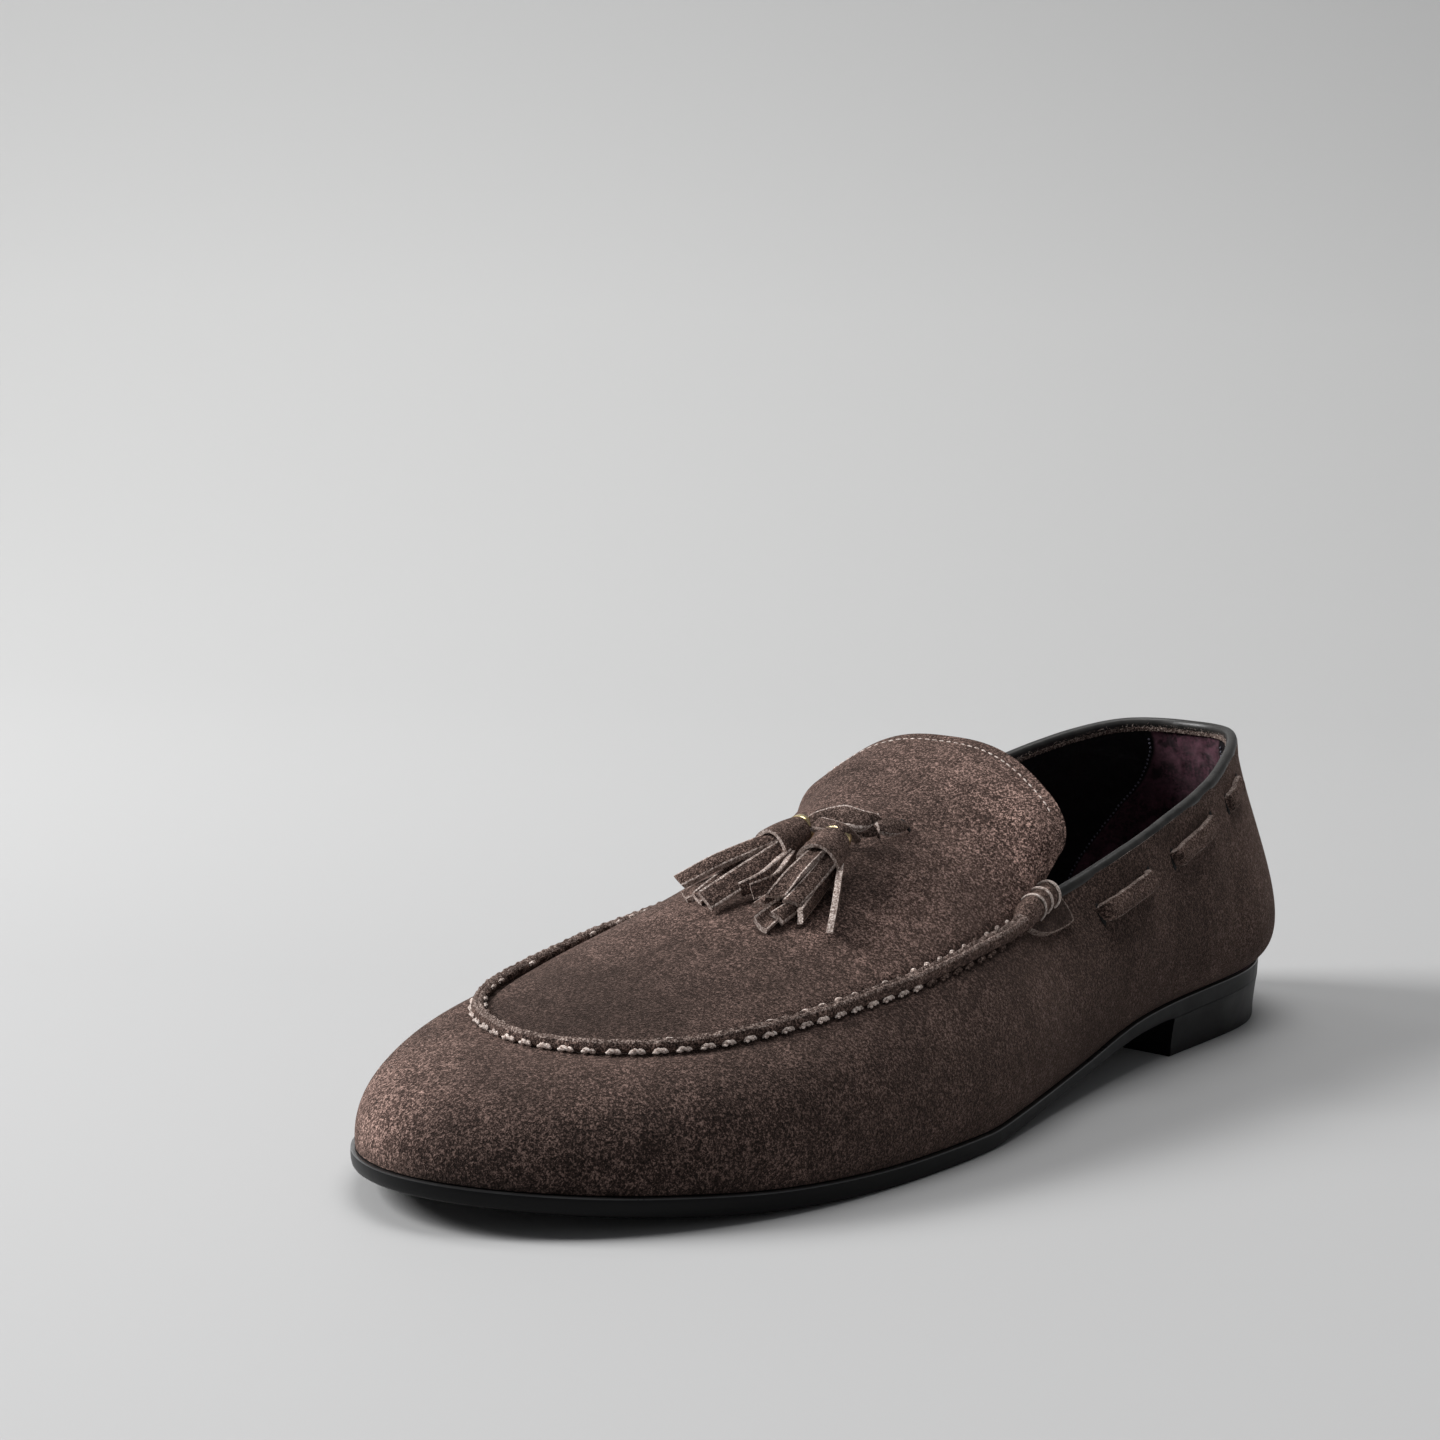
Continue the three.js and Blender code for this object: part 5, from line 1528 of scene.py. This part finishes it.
def heel_block():
    us = np.linspace(0, 0.5, 4001)
    breast = np.interp(HEEL_LENGTH, sole_edge(us, SOLE_UNDERCUT)[1], us)
    us = np.linspace(0, breast, 120)
    shape = [
        (0.0, 0.1),
        (0.0, -0.25),
        (0.01, -0.29),
        (0.15, -0.2),
        (0.35, -0.05),
        (0.55, 0.12),
        (0.75, 0.35),
        (0.93, HEEL_TAPER * 0.9),
        (0.985, HEEL_TAPER + 0.12),
        (1.0, HEEL_TAPER + 0.45),
    ]

    def level(share, inset):
        waist = 0.25 * math.sin(math.pi * share)
        return SOLE_UNDERCUT + inset + waist, lambda s: (underside(s) - 0.08) * (1 - share)

    levels = [level(*row) for row in shape]
    return make("heel_block", slab(us, levels), [HEEL_BLACK, SOLE_TREAD], ["heel"], 35)


def sock():
    us = np.linspace(0, 0.5, 120)
    clear = SOLE_LEDGE + WALL - 0.1
    levels = [
        (clear + 0.6, lambda s: sole_top(s) + GAP + INSOLE_THICKNESS),
        (clear, lambda s: sole_top(s) + GAP + INSOLE_THICKNESS - 0.3),
        (clear, lambda s: sole_top(s) + GAP),
    ]
    return make("sock", slab(us, levels), [SOCK_LEATHER, SOCK_LEATHER], ["insole"], 40)


# Stage
# The paper is painted darker near the shoe and lighter up the backdrop: painted shade and painted light
PAPER_NEAR_SHADED = linear(184, 184, 184)
PAPER_FAR_LIT = linear(219, 219, 218)


def picture_directions():
    """Level directions across the picture and away from the camera, and up."""
    turn = math.radians(CAMERA_TURN)
    across = Vector((math.cos(turn), math.sin(turn), 0))
    return across, Vector((-across.y, across.x, 0)), Vector((0, 0, 1))


def stage():
    depth, radius, height, width = 0.7, 2.2, 4.4, 9.0
    bend = np.linspace(0, math.pi / 2, 40)
    profile = [(-3.0, 0.0), *((depth + radius * math.sin(t), radius * (1 - math.cos(t))) for t in bend)]
    profile.append((depth + radius, height))
    across, away, up = picture_directions()
    sides = (-width / 2, width / 2)
    points = [away * far + across * side + up * high for far, high in profile for side in sides]
    mesh = bpy.data.meshes.new("backdrop")
    mesh.from_pydata(points, [], grid_faces(len(profile), 2, flip=True))
    mesh.shade_smooth()
    paper, nodes = material("backdrop paper")
    place = nodes.add("TexCoord").outputs["Object"]
    behind = nodes.add("VectorMath", {0: place, 1: tuple(away)}, operation="DOT_PRODUCT").outputs["Value"]
    # Painted shade near the shoe, painted light up the backdrop
    tones = nodes.colour(nodes.range(behind, 0.1, 1.6), PAPER_NEAR_SHADED, PAPER_FAR_LIT)
    finish_with(nodes, {"Base Color": tones, "Roughness": 0.62, "Specular IOR Level": 0.3})
    mesh.materials.append(paper)
    backdrop = bpy.data.objects.new("backdrop", mesh)
    bpy.context.scene.collection.objects.link(backdrop)


CAMERA_TURN = 36.66
CAMERA_TILT = 12.01
CAMERA_ROLL = 1.69
CAMERA_FAR = 663.52
FOCAL_PIXELS = 2883.58
CENTRE_ACROSS = 869.82
CENTRE_DOWN = 957.6
PICTURE = 1440
SENSOR = 36.0


def camera_axes():
    turn, tilt, roll = (math.radians(v) for v in (CAMERA_TURN, CAMERA_TILT, CAMERA_ROLL))
    back = Vector((math.sin(turn) * math.cos(tilt), -math.cos(turn) * math.cos(tilt), math.sin(tilt)))
    level = Vector((math.cos(turn), math.sin(turn), 0))
    up = back.cross(level)
    right = level * math.cos(roll) + up * math.sin(roll)
    top = up * math.cos(roll) - level * math.sin(roll)
    across = (CENTRE_ACROSS - PICTURE / 2) / FOCAL_PIXELS
    down = (CENTRE_DOWN - PICTURE / 2) / FOCAL_PIXELS
    look = (-back - right * across + top * down).normalized()
    side = (right - look * right.dot(look)).normalized()
    return back, look, side, side.cross(look)


def camera():
    back, look, side, top = camera_axes()
    target = Vector((-MIDDLE_X, -MIDDLE_Y, 30)) / 1000
    data = bpy.data.cameras.new("camera")
    data.sensor_width = SENSOR
    data.lens = SENSOR * FOCAL_PIXELS / PICTURE
    data.clip_start = 0.01
    holder = bpy.data.objects.new("camera", data)
    turn = Matrix((side, top, -look)).transposed().to_4x4()
    holder.matrix_world = Matrix.Translation(target + back * CAMERA_FAR / 1000) @ turn
    bpy.context.scene.collection.objects.link(holder)
    bpy.context.scene.camera = holder


# Lights: place and aim as metres across the picture, away and up, then size in metres and power
LIGHTS = {
    "window": ((-1.3, -0.15, 0.95), (0, 0, 0.03), (0.65, 0.65), 29),
    "ceiling": ((0, 0.25, 2.1), (0, 0, 0), (1.3, 1.3), 24),
    "fill": ((0.9, -1.6, 0.9), (0, 0, 0.03), (1.6, 1.2), 1.5),
    "wash": ((-1.5, 1.0, 1.9), (-0.9, 2.9, 0.5), (0.8, 0.8), 14),
}


def area_light(name, place, aim, size, power):
    directions = Matrix(picture_directions()).transposed()
    place, aim = directions @ Vector(place), directions @ Vector(aim)
    data = bpy.data.lights.new(name, "AREA")
    data.shape = "RECTANGLE"
    data.size, data.size_y = size
    data.energy = power
    lamp = bpy.data.objects.new(name, data)
    lamp.location = place
    lamp.rotation_mode = "QUATERNION"
    lamp.rotation_quaternion = (aim - place).to_track_quat("-Z", "Y")
    bpy.context.scene.collection.objects.link(lamp)


def lights():
    for name, row in LIGHTS.items():
        area_light(name, *row)
    scene = bpy.context.scene
    scene.world = bpy.data.worlds.new("studio")
    scene.world.use_nodes = True
    sky = scene.world.node_tree.nodes["Background"].inputs
    sky["Color"].default_value = (0.93, 0.95, 1.0, 1)
    sky["Strength"].default_value = 0.11
    scene.view_settings.view_transform = "Standard"
    scene.view_settings.look = "None"


camera()
lights()
stage()
outsole()
heel_block()
sock()
upper_wall()
lining()
lining_stitches()
apron()
moc_ridge()
seam_stitches()
seam_wraps()
tongue_stitches()
topline_piping()
lining_trim()
seam_tab(1, "outer")
seam_tab(-1, "inner")
side_laces()
knot()
knot_slit()
for tassel_name in ("inner", "outer"):
    tassel(tassel_name)
    tassel_band(tassel_name)
